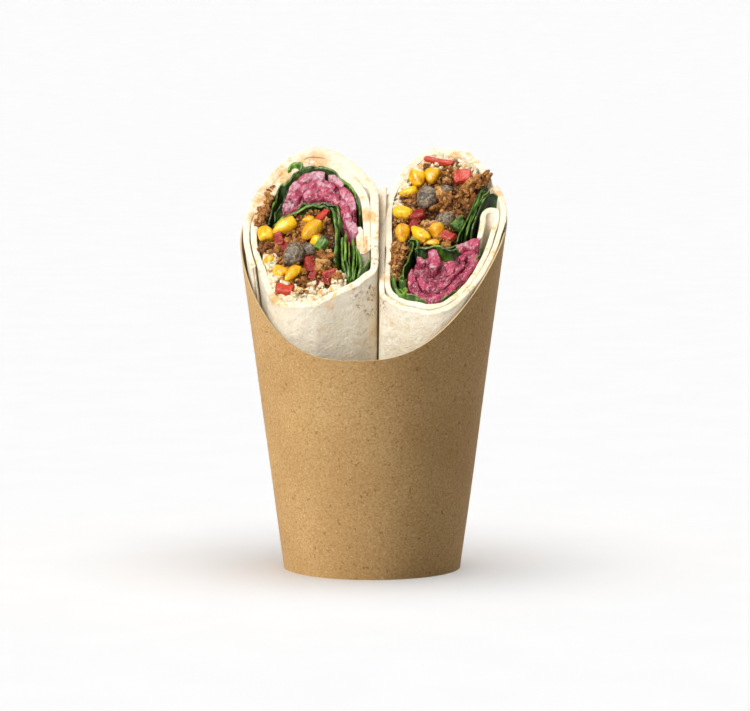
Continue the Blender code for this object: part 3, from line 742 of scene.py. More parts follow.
def band(half, path, thickness, lift=0.0, reach=None, rows=30, edge_rows=5, wander=None,
         round_edge=1.0, flare=0.0):
    """Points of a band, one row for each place on the path.

    thickness, lift and flare are numbers or one value for each place. reach is how deep the band
    goes under the cut, or None for the cup's floor. flare thickens it close to the cut, and
    wander(along, depth) moves it sideways.
    """
    count = len(path)
    steps = np.linalg.norm(np.diff(path, axis=0), axis=1)
    along = np.concatenate([[0.0], np.cumsum(steps)])
    tangent = np.gradient(path, axis=0)
    tangent /= np.linalg.norm(tangent, axis=1)[:, None]
    normal = np.stack([-tangent[:, 1], tangent[:, 0]], axis=-1)
    thick = np.broadcast_to(np.asarray(thickness, float), (count,))
    ends = np.minimum(along, along[-1] - along)
    thick = thick * np.sqrt(np.clip(ends / (0.5 * thick) + 0.08, 0.0, 1.0))
    lift = np.broadcast_to(np.asarray(lift, float), (count,))
    flare = np.broadcast_to(np.asarray(flare, float), (count,))
    share = np.linspace(1.0, 0.0, rows) ** BAND_CROWDING
    swing = np.linspace(0.0, math.pi, edge_rows + 2)[1:-1]
    aside = np.concatenate([np.ones(rows), np.cos(swing), -np.ones(rows)])
    down = np.concatenate([share, np.zeros(edge_rows), share[::-1]])
    crest = np.concatenate([np.zeros(rows), np.sin(swing), np.zeros(rows)])
    middle_z = half.cut_z(path[:, 0], path[:, 1]) + lift
    deepest = middle_z - FLOOR - FLOOR_CLEAR if reach is None else np.full(count, float(reach))
    depth = down[None, :] * deepest[:, None]
    spread = thick[:, None] / 2.0 + flare[:, None] * np.exp(-depth / FLARE_DEPTH)
    shift = aside[None, :] * spread
    if wander is not None:
        shift = shift + wander(along[:, None], depth)
    spot = path[:, None, :] + shift[..., None] * normal[:, None, :]
    rim = half.cut_z(spot[..., 0], spot[..., 1]) + lift[:, None]
    rounding = round_edge * thick[:, None] / 2.0
    edge = (1.0 - crest[None, :]) * rounding * np.exp(-depth / (rounding + 0.05))
    z = np.maximum(rim - edge - depth, FLOOR)
    points = half.place(spot[..., 0], spot[..., 1], z)
    return points, depth


def band_faces(count, columns):
    """The band's grid as triangles, with its two narrow ends closed from face to face."""
    k = np.arange(columns // 2 - 1)
    start = np.stack([k, k + 1, columns - 2 - k, columns - 1 - k], axis=-1)
    if columns % 2:
        middle = columns // 2
        start = np.concatenate([start, [[middle - 1, middle, middle + 1, middle + 1]]])
    end = start[:, ::-1] + (count - 1) * columns
    return as_triangles(np.concatenate([grid_faces(count, columns), start, end]))


# %% [markdown]
# ## The rolled tortillas
#
# Each half is wrapped in a sheet of bread, one and two thirds turns with a folded tongue at its
# inner end. Blisters push the sheet in and out, and near the cut the layers swell until they nearly
# touch. Toast marks, freckles and stains are stored where the photograph shows them. The same toast
# value also holds painted shade: the dark line of a slit and a darker band down the wall by the seam.

# %% Tortilla rolls
BREAD_STEP = 1.5
BREAD_SPACING = 0.6
BREAD_ROWS = 44
BREAD_EDGE_ROWS = 7
LEAST_SWELL = 0.10
SWELL_FADE = 12.0


def blobs(half, points, spots):
    """Soft round marks: each spot is a place on the cut, how far down the wall, radius, strength."""
    total = np.zeros(points.shape[:-1])
    for x, y, down, radius, strength in spots:
        place = half.on_cut(x, y) - np.array([0.0, 0.0, down])
        away = np.linalg.norm(points - place, axis=-1) / radius
        total += strength * np.exp(-away ** 2)
    return total


def between(degrees, first, last, soft):
    """1 from first to last degrees, with soft ends."""
    return smooth((degrees - first) / soft) * (1.0 - smooth((degrees - last) / soft))


def roll_tortilla(half, toast_spots, freckle_spots, swelling, ragged=None):
    """The bread of one half with its blisters and marks.

    swelling is how much the layers swell at the cut, and from where to where along it. ragged is
    the extra height of a torn edge.
    """
    path = resample(half.rolled_path(BREAD_STEP), BREAD_SPACING)
    degrees = np.degrees(np.arctan2(path[:, 1], path[:, 0]))
    flat = flat_points(path)
    thick = half.thickness(degrees) * (1.0 + 0.10 * noise(flat, 5.0, 11))
    lift = 0.35 * rough(flat, 4.0, 5)
    if ragged:
        lift = lift + ragged(degrees, path)
    rise, first, last = swelling
    closed = LEAST_SWELL + rise * between(degrees, first, last, SWELL_FADE)
    points, depth = band(half, path, thick, lift, rows=BREAD_ROWS, edge_rows=BREAD_EDGE_ROWS,
                         round_edge=0.5, flare=closed)
    outward = flat / np.linalg.norm(path, axis=1)[:, None]
    swell = 0.10 * rough(points, 7.0, 21) * smooth(depth / 3.0) + 0.05 * noise(points, 1.6, 23)
    points = points + swell[..., None] * outward[:, None, :]
    column = np.arange(points.shape[1])
    on_edge = (column >= BREAD_ROWS) & (column < BREAD_ROWS + BREAD_EDGE_ROWS)
    points = half.raised(points, on_edge * 0.2 * rough(points, 1.2, 31))
    points[..., 2] = np.maximum(points[..., 2], FLOOR)
    blisters = np.clip(rough(points, 11.0, 41) - 0.3, 0.0, 1.0)
    # Toast marks, with painted shade where spots are given for the slit and the seam.
    toast = blobs(half, points, toast_spots) + 0.3 * blisters
    freckle = np.clip(blobs(half, points, freckle_spots), 0.0, 1.0)
    wet = np.clip(0.15 + 0.9 * rough(points, 6.0, 51), 0.0, 1.0)
    stain = on_edge * wet + 0.8 * wet * np.exp(-depth / 0.9)
    make_piece("tortilla_roll_" + half.label, points, band_faces(*points.shape[:2]), bread,
               stood_for(bread, half), toast=toast, freckle=freckle, stain=stain)


def right_edge(degrees, path):
    """Torn above right, with a dip where crumbs spill out, and a standing flap at the left."""
    flat = flat_points(path)
    dip = -2.6 * between(degrees, 43.0, 50.0, 6.0)
    torn = between(degrees, 52.0, 74.0, 6.0) * (0.7 + 1.2 * rough(flat, 2.4, 61))
    outer = np.hypot(path[:, 0], path[:, 1]) > RIGHT.outline(degrees) - RIGHT.layer
    flap = outer * between(degrees, 130.0, 146.0, 9.0) * (3.4 + 0.9 * rough(flat, 2.0, 62))
    return dip + torn + flap


LEFT_TOAST = (
    (2.0, 24.0, 1.5, 5.0, 1.1), (-9.0, 21.5, 1.5, 3.4, 1.0),
    (-14.0, 15.5, 1.5, 4.4, 1.2), (-17.6, 9.5, 1.5, 3.0, 1.0),
    # Painted shade: two weak tan spots that darken the wall down beside the seam.
    (20.5, -14.0, 9.0, 3.0, 0.5), (20.5, -13.0, 22.0, 4.0, 0.4),
    (-14.0, -19.5, 0.8, 2.4, 0.9), (-2.0, -25.0, 14.0, 1.0, 0.8),
    (19.5, 4.0, 1.0, 2.6, 0.8), (6.0, -25.0, 1.2, 2.4, 0.7),
    # Painted shade: a row of small dark spots that draws the dark line of a slit in the cut.
    *[(18.5, y, 0.0, 0.55, 2.4) for y in (-3.4, -4.2, -5.0, -5.8, -6.6, -7.4, -8.2, -9.0)],
)
RIGHT_TOAST = (
    (5.8, -27.0, 8.6, 2.3, 1.3), (15.5, -19.5, 5.0, 3.2, 1.2),
    (-15.5, -21.5, 7.5, 1.3, 1.0), (-10.5, -26.0, 6.0, 1.0, 0.6),
    (4.5, 30.0, 1.0, 2.2, 1.2), (-12.0, 27.0, 1.0, 3.0, 0.9),
    (-18.5, -12.0, 1.0, 2.0, 0.6), (18.0, 15.0, 1.0, 3.0, 0.8),
)
LEFT_FRECKLES = (
    (15.5, -20.5, 2.0, 2.4, 0.9), (16.5, -20.5, 7.0, 2.4, 0.9),
    (20.5, -16.0, 6.0, 2.4, 1.2), (20.5, -16.0, 12.0, 3.0, 1.2),
    (21.5, -6.0, 2.0, 2.4, 1.0), (21.5, -12.0, 1.0, 2.6, 1.0),
)
RIGHT_FRECKLES = (
    (-19.0, -19.0, 3.0, 2.4, 1.2), (-19.5, -15.0, 6.0, 2.4, 1.0),
    (-15.5, -21.5, 7.5, 1.8, 0.8),
)
roll_tortilla(LEFT, LEFT_TOAST, LEFT_FRECKLES, swelling=(0.18, -40.0, 160.0))
roll_tortilla(RIGHT, RIGHT_TOAST, RIGHT_FRECKLES, swelling=(0.20, 60.0, 200.0), ragged=right_edge)

# %% [markdown]
# ## The spinach
#
# The cut crosses the leaves, so each shows as a thin dark band with a paler edge. They stand out of
# the cut, lean over what lies beside them, and ruffle more the nearer they are to the cut.

# %% Spinach leaves
LEAF_SPACING = 0.4
LEAF_TIP = 0.12


def lay_leaf(half, name, path, seed, lift=0.9, lean=0.0, ruffle=0.35, thick=0.5, shade=0.35,
             reach=None):
    """One leaf as a thin band, ruffled, leaning and uneven along its top.

    It stands for the leaf of the same name in the CAD model, where there is one.
    """
    path = even_path(path, LEAF_SPACING)
    share = np.linspace(0.0, 1.0, len(path))
    tips = smooth(share / LEAF_TIP) * smooth((1.0 - share) / LEAF_TIP)
    top = lift + 0.8 * rough(flat_points(path), 3.2, seed) - 1.0 * (1.0 - tips)

    def wander(along, depth):
        """Sideways sway: noise and lean that fade with depth."""
        wave = np.stack([along + 0.0 * depth, depth + 0.0 * along, 0.0 * (depth + along) + seed],
                        axis=-1)
        sway = ruffle * rough(wave, 3.0, seed + 1) * np.exp(-depth / 9.0)
        return sway + lean * np.exp(-depth / 1.8)

    points, depth = band(half, path, thick, top, reach=reach, edge_rows=3, wander=wander)
    tone = np.clip(shade + 0.45 * rough(points, 4.0, seed + 2), 0.0, 1.0)
    edge = np.exp(-depth / 0.35) * np.clip(0.7 + rough(points, 5.0, seed + 3), 0.0, 1.0)
    node = "spinach_" + half.label + "_" + name
    make_piece("leaf_" + half.label + "_" + name, points, band_faces(*points.shape[:2]), spinach,
               [node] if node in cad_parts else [], shade=tone, edge=edge)


def curl(x, y, radius, first, sweep):
    """A path that curls in: the radius shrinks to half along the sweep."""
    turn = np.linspace(0.0, 1.0, 12)
    return polar(radius * (1.0 - 0.5 * turn), first + sweep * turn) + np.array([x, y])


LEFT_LEAVES = (
    ("outer", dict(lift=0.6, shade=0.3, ruffle=0.45, thick=0.6),
     [*LEFT.inner_face(range(14, 114, 9), 1.2), (-9.0, 17.6), (-10.6, 14.2), (-11.8, 10.4),
      (-13.5, 7.4), (-14.0, 5.9)]),
    ("outer_fold", dict(lift=0.3, shade=0.3, ruffle=0.5, reach=12.0),
     [(-6.6, 16.6), (-8.4, 13.0), (-10.2, 9.6), (-12.2, 6.9)]),
    ("frill", dict(lift=1.6, shade=0.95, ruffle=0.7, thick=0.8, reach=6.0),
     [(-6.4, 20.8), (-5.2, 22.6), (-3.6, 22.9), (-2.2, 21.7), (-3.4, 20.9)]),
    ("middle", dict(lift=1.5, lean=-1.3, shade=0.3, ruffle=0.3, thick=0.8),
     [(-13.2, 5.7), (-9.4, 7.5), (-4.2, 8.9), (2.0, 9.5), (6.0, 8.8), (8.3, 7.2), (9.4, 4.3),
      (9.9, -0.4), (9.7, -5.7), (9.0, -10.9)]),
    ("middle_fold", dict(lift=1.2, lean=-1.2, shade=0.45, ruffle=0.5, reach=14.0),
     [(-4.0, 9.8), (2.2, 10.6), (6.8, 9.8), (9.6, 7.8), (10.8, 4.6), (11.2, 0.4)]),
    ("fan_edge", dict(lift=0.9, shade=0.45, ruffle=0.3, thick=0.8),
     [(10.9, -1.6), (10.6, -5.0), (10.6, -10.0), (11.0, -14.0), (12.2, -17.0)]),
    ("fan_inner", dict(lift=1.2, shade=0.6, ruffle=0.3, thick=0.9),
     [(11.9, -0.6), (11.8, -5.0), (11.8, -10.5), (12.7, -17.2)]),
    ("fan_thin", dict(lift=1.0, shade=0.8, ruffle=0.3, thick=0.4, reach=16.0),
     [(12.8, -3.4), (12.9, -8.0), (12.9, -13.0), (13.2, -17.6)]),
    ("fan_middle", dict(lift=1.3, shade=0.6, ruffle=0.3, thick=0.9),
     [(14.0, -3.4), (14.5, -8.0), (14.3, -13.0), (13.8, -17.6)]),
    ("fan_slim", dict(lift=1.0, shade=0.85, ruffle=0.3, thick=0.4, reach=16.0),
     [(14.9, -6.4), (15.6, -10.0), (15.3, -14.0), (14.3, -17.8)]),
    ("fan_outer", dict(lift=1.1, shade=0.7, ruffle=0.3, thick=0.9),
     [(15.5, -8.6), (16.6, -12.0), (17.0, -14.2), (15.6, -17.2)]),
    ("fan_tip", dict(lift=1.5, shade=0.75, ruffle=0.3, reach=5.0),
     [(16.0, -16.4), (17.4, -15.6), (18.8, -14.6), (19.9, -12.6), (20.2, -11.2)]),
)
RIGHT_LEAVES = (
    ("outer", dict(lift=0.2, shade=0.4, ruffle=0.3),
     list(RIGHT.inner_face(range(-14, -130, -9), 1.1))),
    ("corner", dict(lift=1.1, lean=0.7, shade=0.3, ruffle=0.5, thick=0.6),
     [(-10.7, 0.3), (-9.6, -1.9), (-10.6, -5.3), (-12.2, -8.7), (-13.5, -13.6)]),
    ("corner_fold", dict(lift=1.4, lean=-0.9, shade=0.3, ruffle=0.4, reach=12.0),
     [(-10.9, 1.4), (-9.2, 1.0), (-7.6, -0.4), (-6.8, -2.4), (-7.6, -4.4)]),
    ("corner_curl", dict(lift=0.9, shade=0.85, ruffle=0.3, thick=0.6, reach=8.0),
     curl(-12.2, -14.8, 1.6, 80.0, 330.0)),
    ("corner_back", dict(lift=0.2, shade=0.45, ruffle=0.3, thick=1.2, reach=10.0),
     [(-15.9, -9.5), (-15.6, -13.5), (-14.8, -17.0), (-12.6, -20.6)]),
    ("corner_ring", dict(lift=1.0, shade=0.95, ruffle=0.2, thick=0.7, reach=8.0),
     curl(-12.4, -19.4, 1.7, 140.0, 350.0)),
    ("corner_foot", dict(lift=0.8, shade=0.7, ruffle=0.4, reach=10.0),
     [(-13.9, -17.4), (-11.2, -20.6), (-9.2, -21.6), (-6.8, -23.0)]),
    ("middle", dict(lift=1.5, lean=-1.3, shade=0.35, ruffle=0.4, thick=0.7),
     [(-7.7, -1.8), (-5.7, -3.4), (-1.0, -3.2), (3.2, -4.6), (7.6, -6.0)]),
    ("middle_fold", dict(lift=1.2, lean=-0.9, shade=0.6, ruffle=0.5, reach=10.0),
     [(-0.6, -3.0), (2.8, -3.8), (5.4, -3.4), (8.2, -3.9)]),
    ("blade_front", dict(lift=1.5, lean=0.5, shade=0.35, ruffle=0.5),
     [(14.2, 17.6), (12.4, 15.2), (10.4, 11.6), (8.3, 7.2), (6.9, 2.4), (5.5, -2.8)]),
    ("blade_inner", dict(lift=0.7, shade=0.6, ruffle=0.6, reach=20.0),
     [(13.6, 15.4), (11.2, 11.2), (9.6, 7.0), (8.4, 2.4)]),
    ("blade_middle", dict(lift=1.4, lean=0.6, shade=0.25, ruffle=0.5),
     [(15.2, 14.9), (12.6, 12.2), (10.8, 8.6), (9.6, 4.4), (8.6, -0.6)]),
    ("blade_back", dict(lift=1.3, lean=0.4, shade=0.4, ruffle=0.4, thick=0.6),
     [(17.9, 12.6), (16.0, 13.1), (13.8, 12.0), (12.0, 9.0), (11.0, 5.4), (10.2, 0.8)]),
    ("light", dict(lift=1.5, lean=-0.8, shade=0.8, ruffle=0.4, thick=0.7, reach=9.0),
     [(4.6, 4.6), (5.6, 6.6), (7.0, 6.4), (7.6, 4.0), (6.8, 1.4)]),
)
for half, leaves, seed in ((LEFT, LEFT_LEAVES, 100), (RIGHT, RIGHT_LEAVES, 300)):
    for number, (name, shape, path) in enumerate(leaves):
        lay_leaf(half, name, path, seed + 10 * number, **shape)

# %% [markdown]
# ## The beds
#
# Under the loose pieces lies a bed of crumbs or onion: a region between the leaves and the cheese,
# filled from the cup's floor up to a lumpy top. Its rings of points grow from the region's middle
# to its border and then go straight down.

# %% Regions
UNDER_LEFT_LEAF = [(7.6, -11.3), (8.3, -5.6), (8.5, -0.4), (7.9, 3.8), (6.8, 6.4), (5.0, 7.5),
                   (1.9, 7.9), (-4.0, 7.4), (-9.2, 6.0), (-12.6, 4.5), (-14.6, 5.4)]
LEFT_FILLING = [*LEFT.inner_face(range(160, 188, 8), 0.6),
                *LEFT.inner_face(range(192, 306, 10), 1.8),
                (10.2, -15.9), (9.7, -13.0), *UNDER_LEFT_LEAF]
UNDER_RIGHT_LEAVES = [
    (-13.8, -8.4), (-12.2, -4.8), (-11.2, -1.6), (-12.0, 0.6), (-11.2, 2.0), (-9.4, 1.0),
    (-7.4, 0.2), (-5.8, -2.2), (-1.2, -2.3), (2.8, -3.7), (4.3, -2.4), (5.3, 1.8), (7.1, 8.0),
    (9.3, 12.6), (11.2, 16.4), (12.4, 18.0)]
RIGHT_FILLING = [*RIGHT.inner_face(range(58, 129, 10), 2.0),
                 *RIGHT.inner_face(range(138, 207, 10), 0.7), *UNDER_RIGHT_LEAVES]
LEFT_ONION = [(-9.3, 9.6), (-4.3, 10.3), (2.2, 10.9), (6.8, 10.2), (9.5, 8.4), (10.8, 4.6),
              (11.4, 1.6), (14.6, 1.4), *LEFT.inner_face(range(12, 118, 10), 2.2),
              (-8.4, 13.4), (-9.8, 11.2)]
RIGHT_ONION = [(12.4, -2.6), (8.5, -3.4), (8.4, -6.9), (6.6, -8.2), (2.8, -6.5), (-1.2, -4.8),
               (-5.8, -4.9), (-8.4, -5.4), (-9.2, -8.9), (-10.7, -12.4), (-11.8, -15.6),
               *RIGHT.inner_face(range(-116, -15, 10), 2.2)]


def closed_curve(points, count):
    """A closed border at even steps."""
    line = np.asarray(list(points) + [points[0]], float)
    length = np.concatenate([[0.0], np.cumsum(np.linalg.norm(np.diff(line, axis=0), axis=1))])
    wanted = np.linspace(0.0, length[-1], count, endpoint=False)
    return np.stack([np.interp(wanted, length, line[:, k]) for k in (0, 1)], axis=-1)


def inside(border, x, y):
    """How far points lie inside a closed border, negative outside: nearest edge, odd crossings."""
    start = border[:, None, :]
    span = np.roll(border, -1, axis=0)[:, None, :] - start
    spot = np.stack([x, y], axis=-1)[None, :, :]
    share = np.clip(((spot - start) * span).sum(-1) / (span ** 2).sum(-1), 0.0, 1.0)
    distance = np.linalg.norm(spot - start - share[..., None] * span, axis=-1).min(axis=0)
    crosses = (start[..., 1] > y) != (start[..., 1] + span[..., 1] > y)
    climb = np.where(np.abs(span[..., 1]) < 1e-9, 1e-9, span[..., 1])
    at = start[..., 0] + (y - start[..., 1]) * span[..., 0] / climb
    within = (crosses & (x < at)).sum(axis=0) % 2 == 1
    return np.where(within, distance, -distance)


# %% Beds
BED_LEVELS = (0.97, 0.9, 0.78, 0.4, 0.0)
BED_HUB = 0.015
BED_SIDES = 420


def pits(flat, holes):
    """Dents in a surface: each is a place on the section, a radius and a depth."""
    total = 0.0
    for x, y, radius, deep in holes:
        away = np.hypot(flat[..., 0] - x, flat[..., 1] - y) / radius
        total = total - deep * np.exp(-away ** 2)
    return total


def bed(name, half, border, middle, surface, finish, shade, rings=96):
    """A filled region: rings of points from its middle out, then straight walls to the floor."""
    border = closed_curve(border, BED_SIDES)
    middle = np.asarray(middle, float)
    share = np.linspace(BED_HUB, 1.0, rings)[:, None, None]
    flat = flat_points(middle + share * (border - middle))
    lift = surface(flat) - 1.2 * smooth((share[..., 0] - 0.92) / 0.08)
    top = half.cut_z(flat[..., 0], flat[..., 1]) + lift
    levels = np.array(BED_LEVELS)[:, None]
    wall_z = FLOOR + levels * (top[-1][None, :] - FLOOR)
    rim = np.broadcast_to(border, (len(BED_LEVELS), *border.shape))
    wall = half.place(rim[..., 0], rim[..., 1], wall_z)
    hub = middle + BED_HUB * (border - middle)
    floor_ring = half.place(hub[:, 0], hub[:, 1], np.full(BED_SIDES, FLOOR))
    points = np.concatenate([half.place(flat[..., 0], flat[..., 1], top), wall, floor_ring[None]])
    total = points.shape[0] * BED_SIDES
    ring = np.arange(BED_SIDES)
    following = (ring + 1) % BED_SIDES
    lid = np.stack([0 * ring + total, following, ring], axis=-1)
    last = total - BED_SIDES
    bottom = np.stack([0 * ring + total + 1, ring + last, following + last], axis=-1)
    hubs = np.stack([points[0].mean(axis=0), points[-1].mean(axis=0)])
    every = np.concatenate([points.reshape(-1, 3), hubs])
    faces = np.concatenate([as_triangles(grid_faces(len(points), BED_SIDES)), lid, bottom])
    # Painted shade: the tone falls where the top is low, and the walls and floor take the darkest tone.
    height = np.concatenate([lift.ravel(), np.full(len(every) - lift.size, -3.0)])
    tone = np.clip(shade + 0.16 * height + 0.3 * rough(every, 2.2, 77), 0.0, 1.0)
    make_piece(name + half.label, every, faces, finish, stood_for(finish, half), shade=tone)


LEFT_HOLES = ((6.4, -0.6, 2.6, 6.0), (8.0, -5.2, 1.8, 5.0), (-1.4, -7.4, 1.7, 4.0),
              (-1.6, -2.2, 1.2, 2.0), (7.2, -10.4, 1.4, 2.0))
RIGHT_HOLES = ((-2.6, 10.2, 2.4, 6.0), (-10.6, 5.6, 1.6, 3.0), (4.6, 1.4, 1.6, 3.0),
               (3.6, 18.0, 1.7, 4.0), (7.0, 11.6, 1.3, 2.5))


def crumb_top(holes, seed):
    """The surface of packed lumps with a few deep hollows."""
    return lambda flat: -0.9 + 1.8 * lumpy(flat, 4.6, seed) + pits(flat, holes)


bed("crumb_bed_", LEFT, LEFT_FILLING, (-3.0, -4.5), crumb_top(LEFT_HOLES, 301), crumb, 0.5)
bed("crumb_bed_", RIGHT, RIGHT_FILLING, (-3.5, 10.0), crumb_top(RIGHT_HOLES, 302), crumb, 0.5)

# %% [markdown]
# ## Lumps: kernels, beans and dice
#
# Each kind of lump starts as the same round ball of points. A form function shapes it, and every
# copy gets its own place, turn, size and bumps, all worked out as whole arrays.

# %% Lumps
LUMP_TILT = 16.0
LUMP_ROLL = 25.0
# Painted shade in the dents of each lump, and painted light on its bumps.
RIDGE_TONE = 0.35


def ball(rings, segments):
    """Sphere points by latitude and longitude, one point at each pole, and the triangles."""
    latitude = np.linspace(0.0, math.pi, rings + 1)[1:-1][:, None]
    longitude = np.arange(segments)[None, :] * 2.0 * math.pi / segments
    longitude = longitude + np.arange(rings - 1)[:, None] * math.pi / segments
    grid = np.stack([np.cos(latitude) + 0.0 * longitude, np.sin(latitude) * np.cos(longitude),
                     np.sin(latitude) * np.sin(longitude)], axis=-1).reshape(-1, 3)
    points = np.concatenate([grid, [[1.0, 0.0, 0.0], [-1.0, 0.0, 0.0]]])
    ring = np.arange(segments)
    following = (ring + 1) % segments
    last = (rings - 2) * segments
    first_cap = np.stack([0 * ring + len(grid), following, ring], axis=-1)
    last_cap = np.stack([0 * ring + len(grid) + 1, last + ring, last + following], axis=-1)
    sides = as_triangles(grid_faces(rings - 1, segments))
    return points, np.concatenate([sides, first_cap, last_cap])


SMALL_BALL = ball(4, 7)
MIDDLE_BALL = ball(16, 22)
FINE_BALL = ball(30, 44)
print("balls have", [len(kind[1]) for kind in (SMALL_BALL, MIDDLE_BALL, FINE_BALL)], "triangles")


def turned_axes(half, turns, tilts, rolls):
    """Axes of lumps on the cut: length turned in the face, then tilted out of it and rolled."""
    across, up, out = half.face_axes()
    turns, tilts, rolls = (np.radians(np.asarray(a, float))[:, None] for a in (turns, tilts, rolls))
    along = np.cos(turns) * across + np.sin(turns) * up
    sideways = -np.sin(turns) * across + np.cos(turns) * up
    length = np.cos(tilts) * along + np.sin(tilts) * out
    normal = -np.sin(tilts) * along + np.cos(tilts) * out
    width = np.cos(rolls) * sideways + np.sin(rolls) * normal
    thick = -np.sin(rolls) * sideways + np.cos(rolls) * normal
    return np.stack([length, width, thick], axis=1)


def place_lumps(form, base, centres, axes, sizes, bumps, seed):
    """Every copy's points: the formed ball, made bumpy, stretched, turned and moved. It also gives how far
    each point is pushed out, which paints shade in the dents and light on the bumps.
    """
    own = np.arange(len(centres))[:, None, None] * 13.7 + seed
    bumpy = 1.0 + bumps * rough(base[0][None] + own, 0.9, seed, 3)
    local = form(base[0])[None] * bumpy[..., None] * (sizes[:, None, :] / 2.0)
    points = centres[:, None, :] + np.einsum("nvk,nkj->nvj", local, axes)
    faces = base[1][None] + (np.arange(len(centres)) * len(base[0]))[:, None, None]
    return points, faces.reshape(-1, 3), (bumpy - 1.0) / bumps


def kernel_form(ball_points):
    """A corn kernel: boxy, narrow at its root, with a dent in its broad end."""
    x, y, z = (np.sign(ball_points) * np.abs(ball_points) ** 0.8).T
    narrow = 0.62 + 0.38 * smooth((x + 1.0) / 1.3)
    dent = 0.3 * np.exp(-(y ** 2 + z ** 2) / 0.2) * smooth((x - 0.2) / 0.6)
    return np.stack([x - dent, y * narrow, z * narrow * (1.0 - 0.12 * x)], axis=-1)


def bean_form(ball_points):
    """A bean: a plump oval, bent a little round its eye."""
    x, y, z = ball_points.T
    return np.stack([x, y * (1.0 - 0.1 * x) + 0.16 * x * x - 0.08, z * 0.96], axis=-1)


def dice_form(ball_points):
    """A cut of pepper wall: a ball pressed towards a box and bent along its length."""
    x, y, z = (np.sign(ball_points) * np.abs(ball_points) ** 0.5).T
    return np.stack([x, y, z * 0.8 + 0.35 * x ** 2 - 0.15], axis=-1)


def crumb_form(ball_points):
    """A broken crumb: dented in waves that don't line up."""
    x, y, z = ball_points.T
    dents = 0.18 * np.sin(3.1 * y + 2.0 * z) + 0.12 * np.sin(4.3 * x - 2.2 * y)
    return ball_points * (1.0 + dents)[:, None]


def add_lumps(name, half, form, base, spots, sizes, turns, finish, seed, replaced=None, lift=0.0,
              tilts=None, rolls=None, bumps=0.08, shades=None, crisp=False):
    """A piece of many lumps that lie on one half's cut. Its name ends with the half's."""
    spots = np.asarray(spots, float)
    sizes = np.asarray(sizes, float)
    chance = np.random.default_rng(seed)
    tilts = chance.uniform(-LUMP_TILT, LUMP_TILT, len(spots)) if tilts is None else tilts
    rolls = chance.uniform(-LUMP_ROLL, LUMP_ROLL, len(spots)) if rolls is None else rolls
    shades = chance.uniform(0.0, 1.0, len(spots)) if shades is None else shades
    lift = np.broadcast_to(np.asarray(lift, float), (len(spots),))
    centres = half.on_cut(spots[:, 0], spots[:, 1], lift)
    axes = turned_axes(half, turns, tilts, rolls)
    points, faces, ridges = place_lumps(form, base, centres, axes, sizes, bumps, seed)
    # Painted shade in each lump's dents and painted light on its bumps, over its own shade.
    tone = np.clip(np.asarray(shades, float)[:, None] + RIDGE_TONE * ridges, 0.0, 1.0)
    make_piece(name + half.label, points, faces, finish, replaced or stood_for(finish, half),
               crisp, shade=tone)


# %% [markdown]
# Two small folded scraps of leaf show as plump green buds among the crumbs, where a rolled leaf
# was cut across.

# %% Buds of leaf
for half, node, spots, sizes, turns, seed in (
        (LEFT, "spinach_left_middle", [(3.4, -4.6), (4.4, -2.8)], [(4.6, 3.6, 3.4), (3.0, 1.8, 2.0)],
         [70.0, 100.0], 541),
        (RIGHT, "spinach_right_blade_front", [(5.4, 3.6), (6.0, 5.4)],
         [(4.6, 3.4, 3.0), (3.0, 1.8, 2.0)], [60.0, 80.0], 545)):
    add_lumps("leaf_bud_", half, dice_form, FINE_BALL, spots, sizes, turns, spinach, seed, [node],
              lift=0.9, bumps=0.2, shades=[0.75, 0.6])

# %% [markdown]
# The larger pieces lie where the photograph shows them. Each row of the tables is the place on the
# section, length, width, turn in the cut, rise out of it, and tilt. A tilt of 75 degrees shows a
# kernel from its broad end.

# %% Corn, beans and pepper
CORN_AT = {
    "left": ((-8.8, 3.7, 9.8, 5.3, 38, 1.0, 6), (-15.5, 2.2, 5.6, 6.8, 20, 0.4, 72),
             (0.4, 1.4, 10.2, 5.6, 62, 0.9, -6), (1.6, -2.4, 4.8, 4.2, 30, 0.0, 20),
             (-15.0, -6.4, 4.6, 4.0, 0, 0.0, 20), (-11.6, -11.0, 7.6, 4.6, -50, 0.4, 10),
             (-7.2, -12.8, 8.6, 4.6, 66, 0.8, -8), (-9.2, -15.4, 5.4, 2.6, 60, 0.2, 0),
             (-5.0, -18.6, 6.2, 2.6, -30, 0.0, 0), (-0.2, 5.2, 4.2, 3.0, 10, 0.4, 0)),
    "right": ((-8.3, 22.4, 7.6, 5.8, 106, 0.8, 8), (-3.4, 22.8, 7.6, 5.6, 84, 1.0, -6),
              (-11.2, 18.6, 7.0, 4.2, 22, 0.0, 0), (-13.0, 10.8, 5.6, 6.8, 60, 0.5, 70),
              (-12.9, 3.6, 8.2, 5.2, 92, 0.6, 10), (-6.8, 2.2, 9.6, 4.6, -46, 1.0, 0),
              (-1.2, 2.8, 6.8, 5.2, 100, 0.5, 30), (-2.6, -1.0, 5.4, 2.6, 0, 0.2, 0)),
}
BEANS_AT = {
    "left": ((-6.4, -6.0, 10.0, 7.2, 84, 0.8, 0), (-0.8, -4.2, 6.6, 5.0, -24, -0.8, 0)),
    "right": ((-5.4, 15.2, 10.0, 7.2, 94, 0.9, 0), (1.2, 6.6, 7.0, 6.4, 10, 0.4, 20),
              (0.8, 18.2, 5.4, 4.4, 0, -1.0, 0)),
}
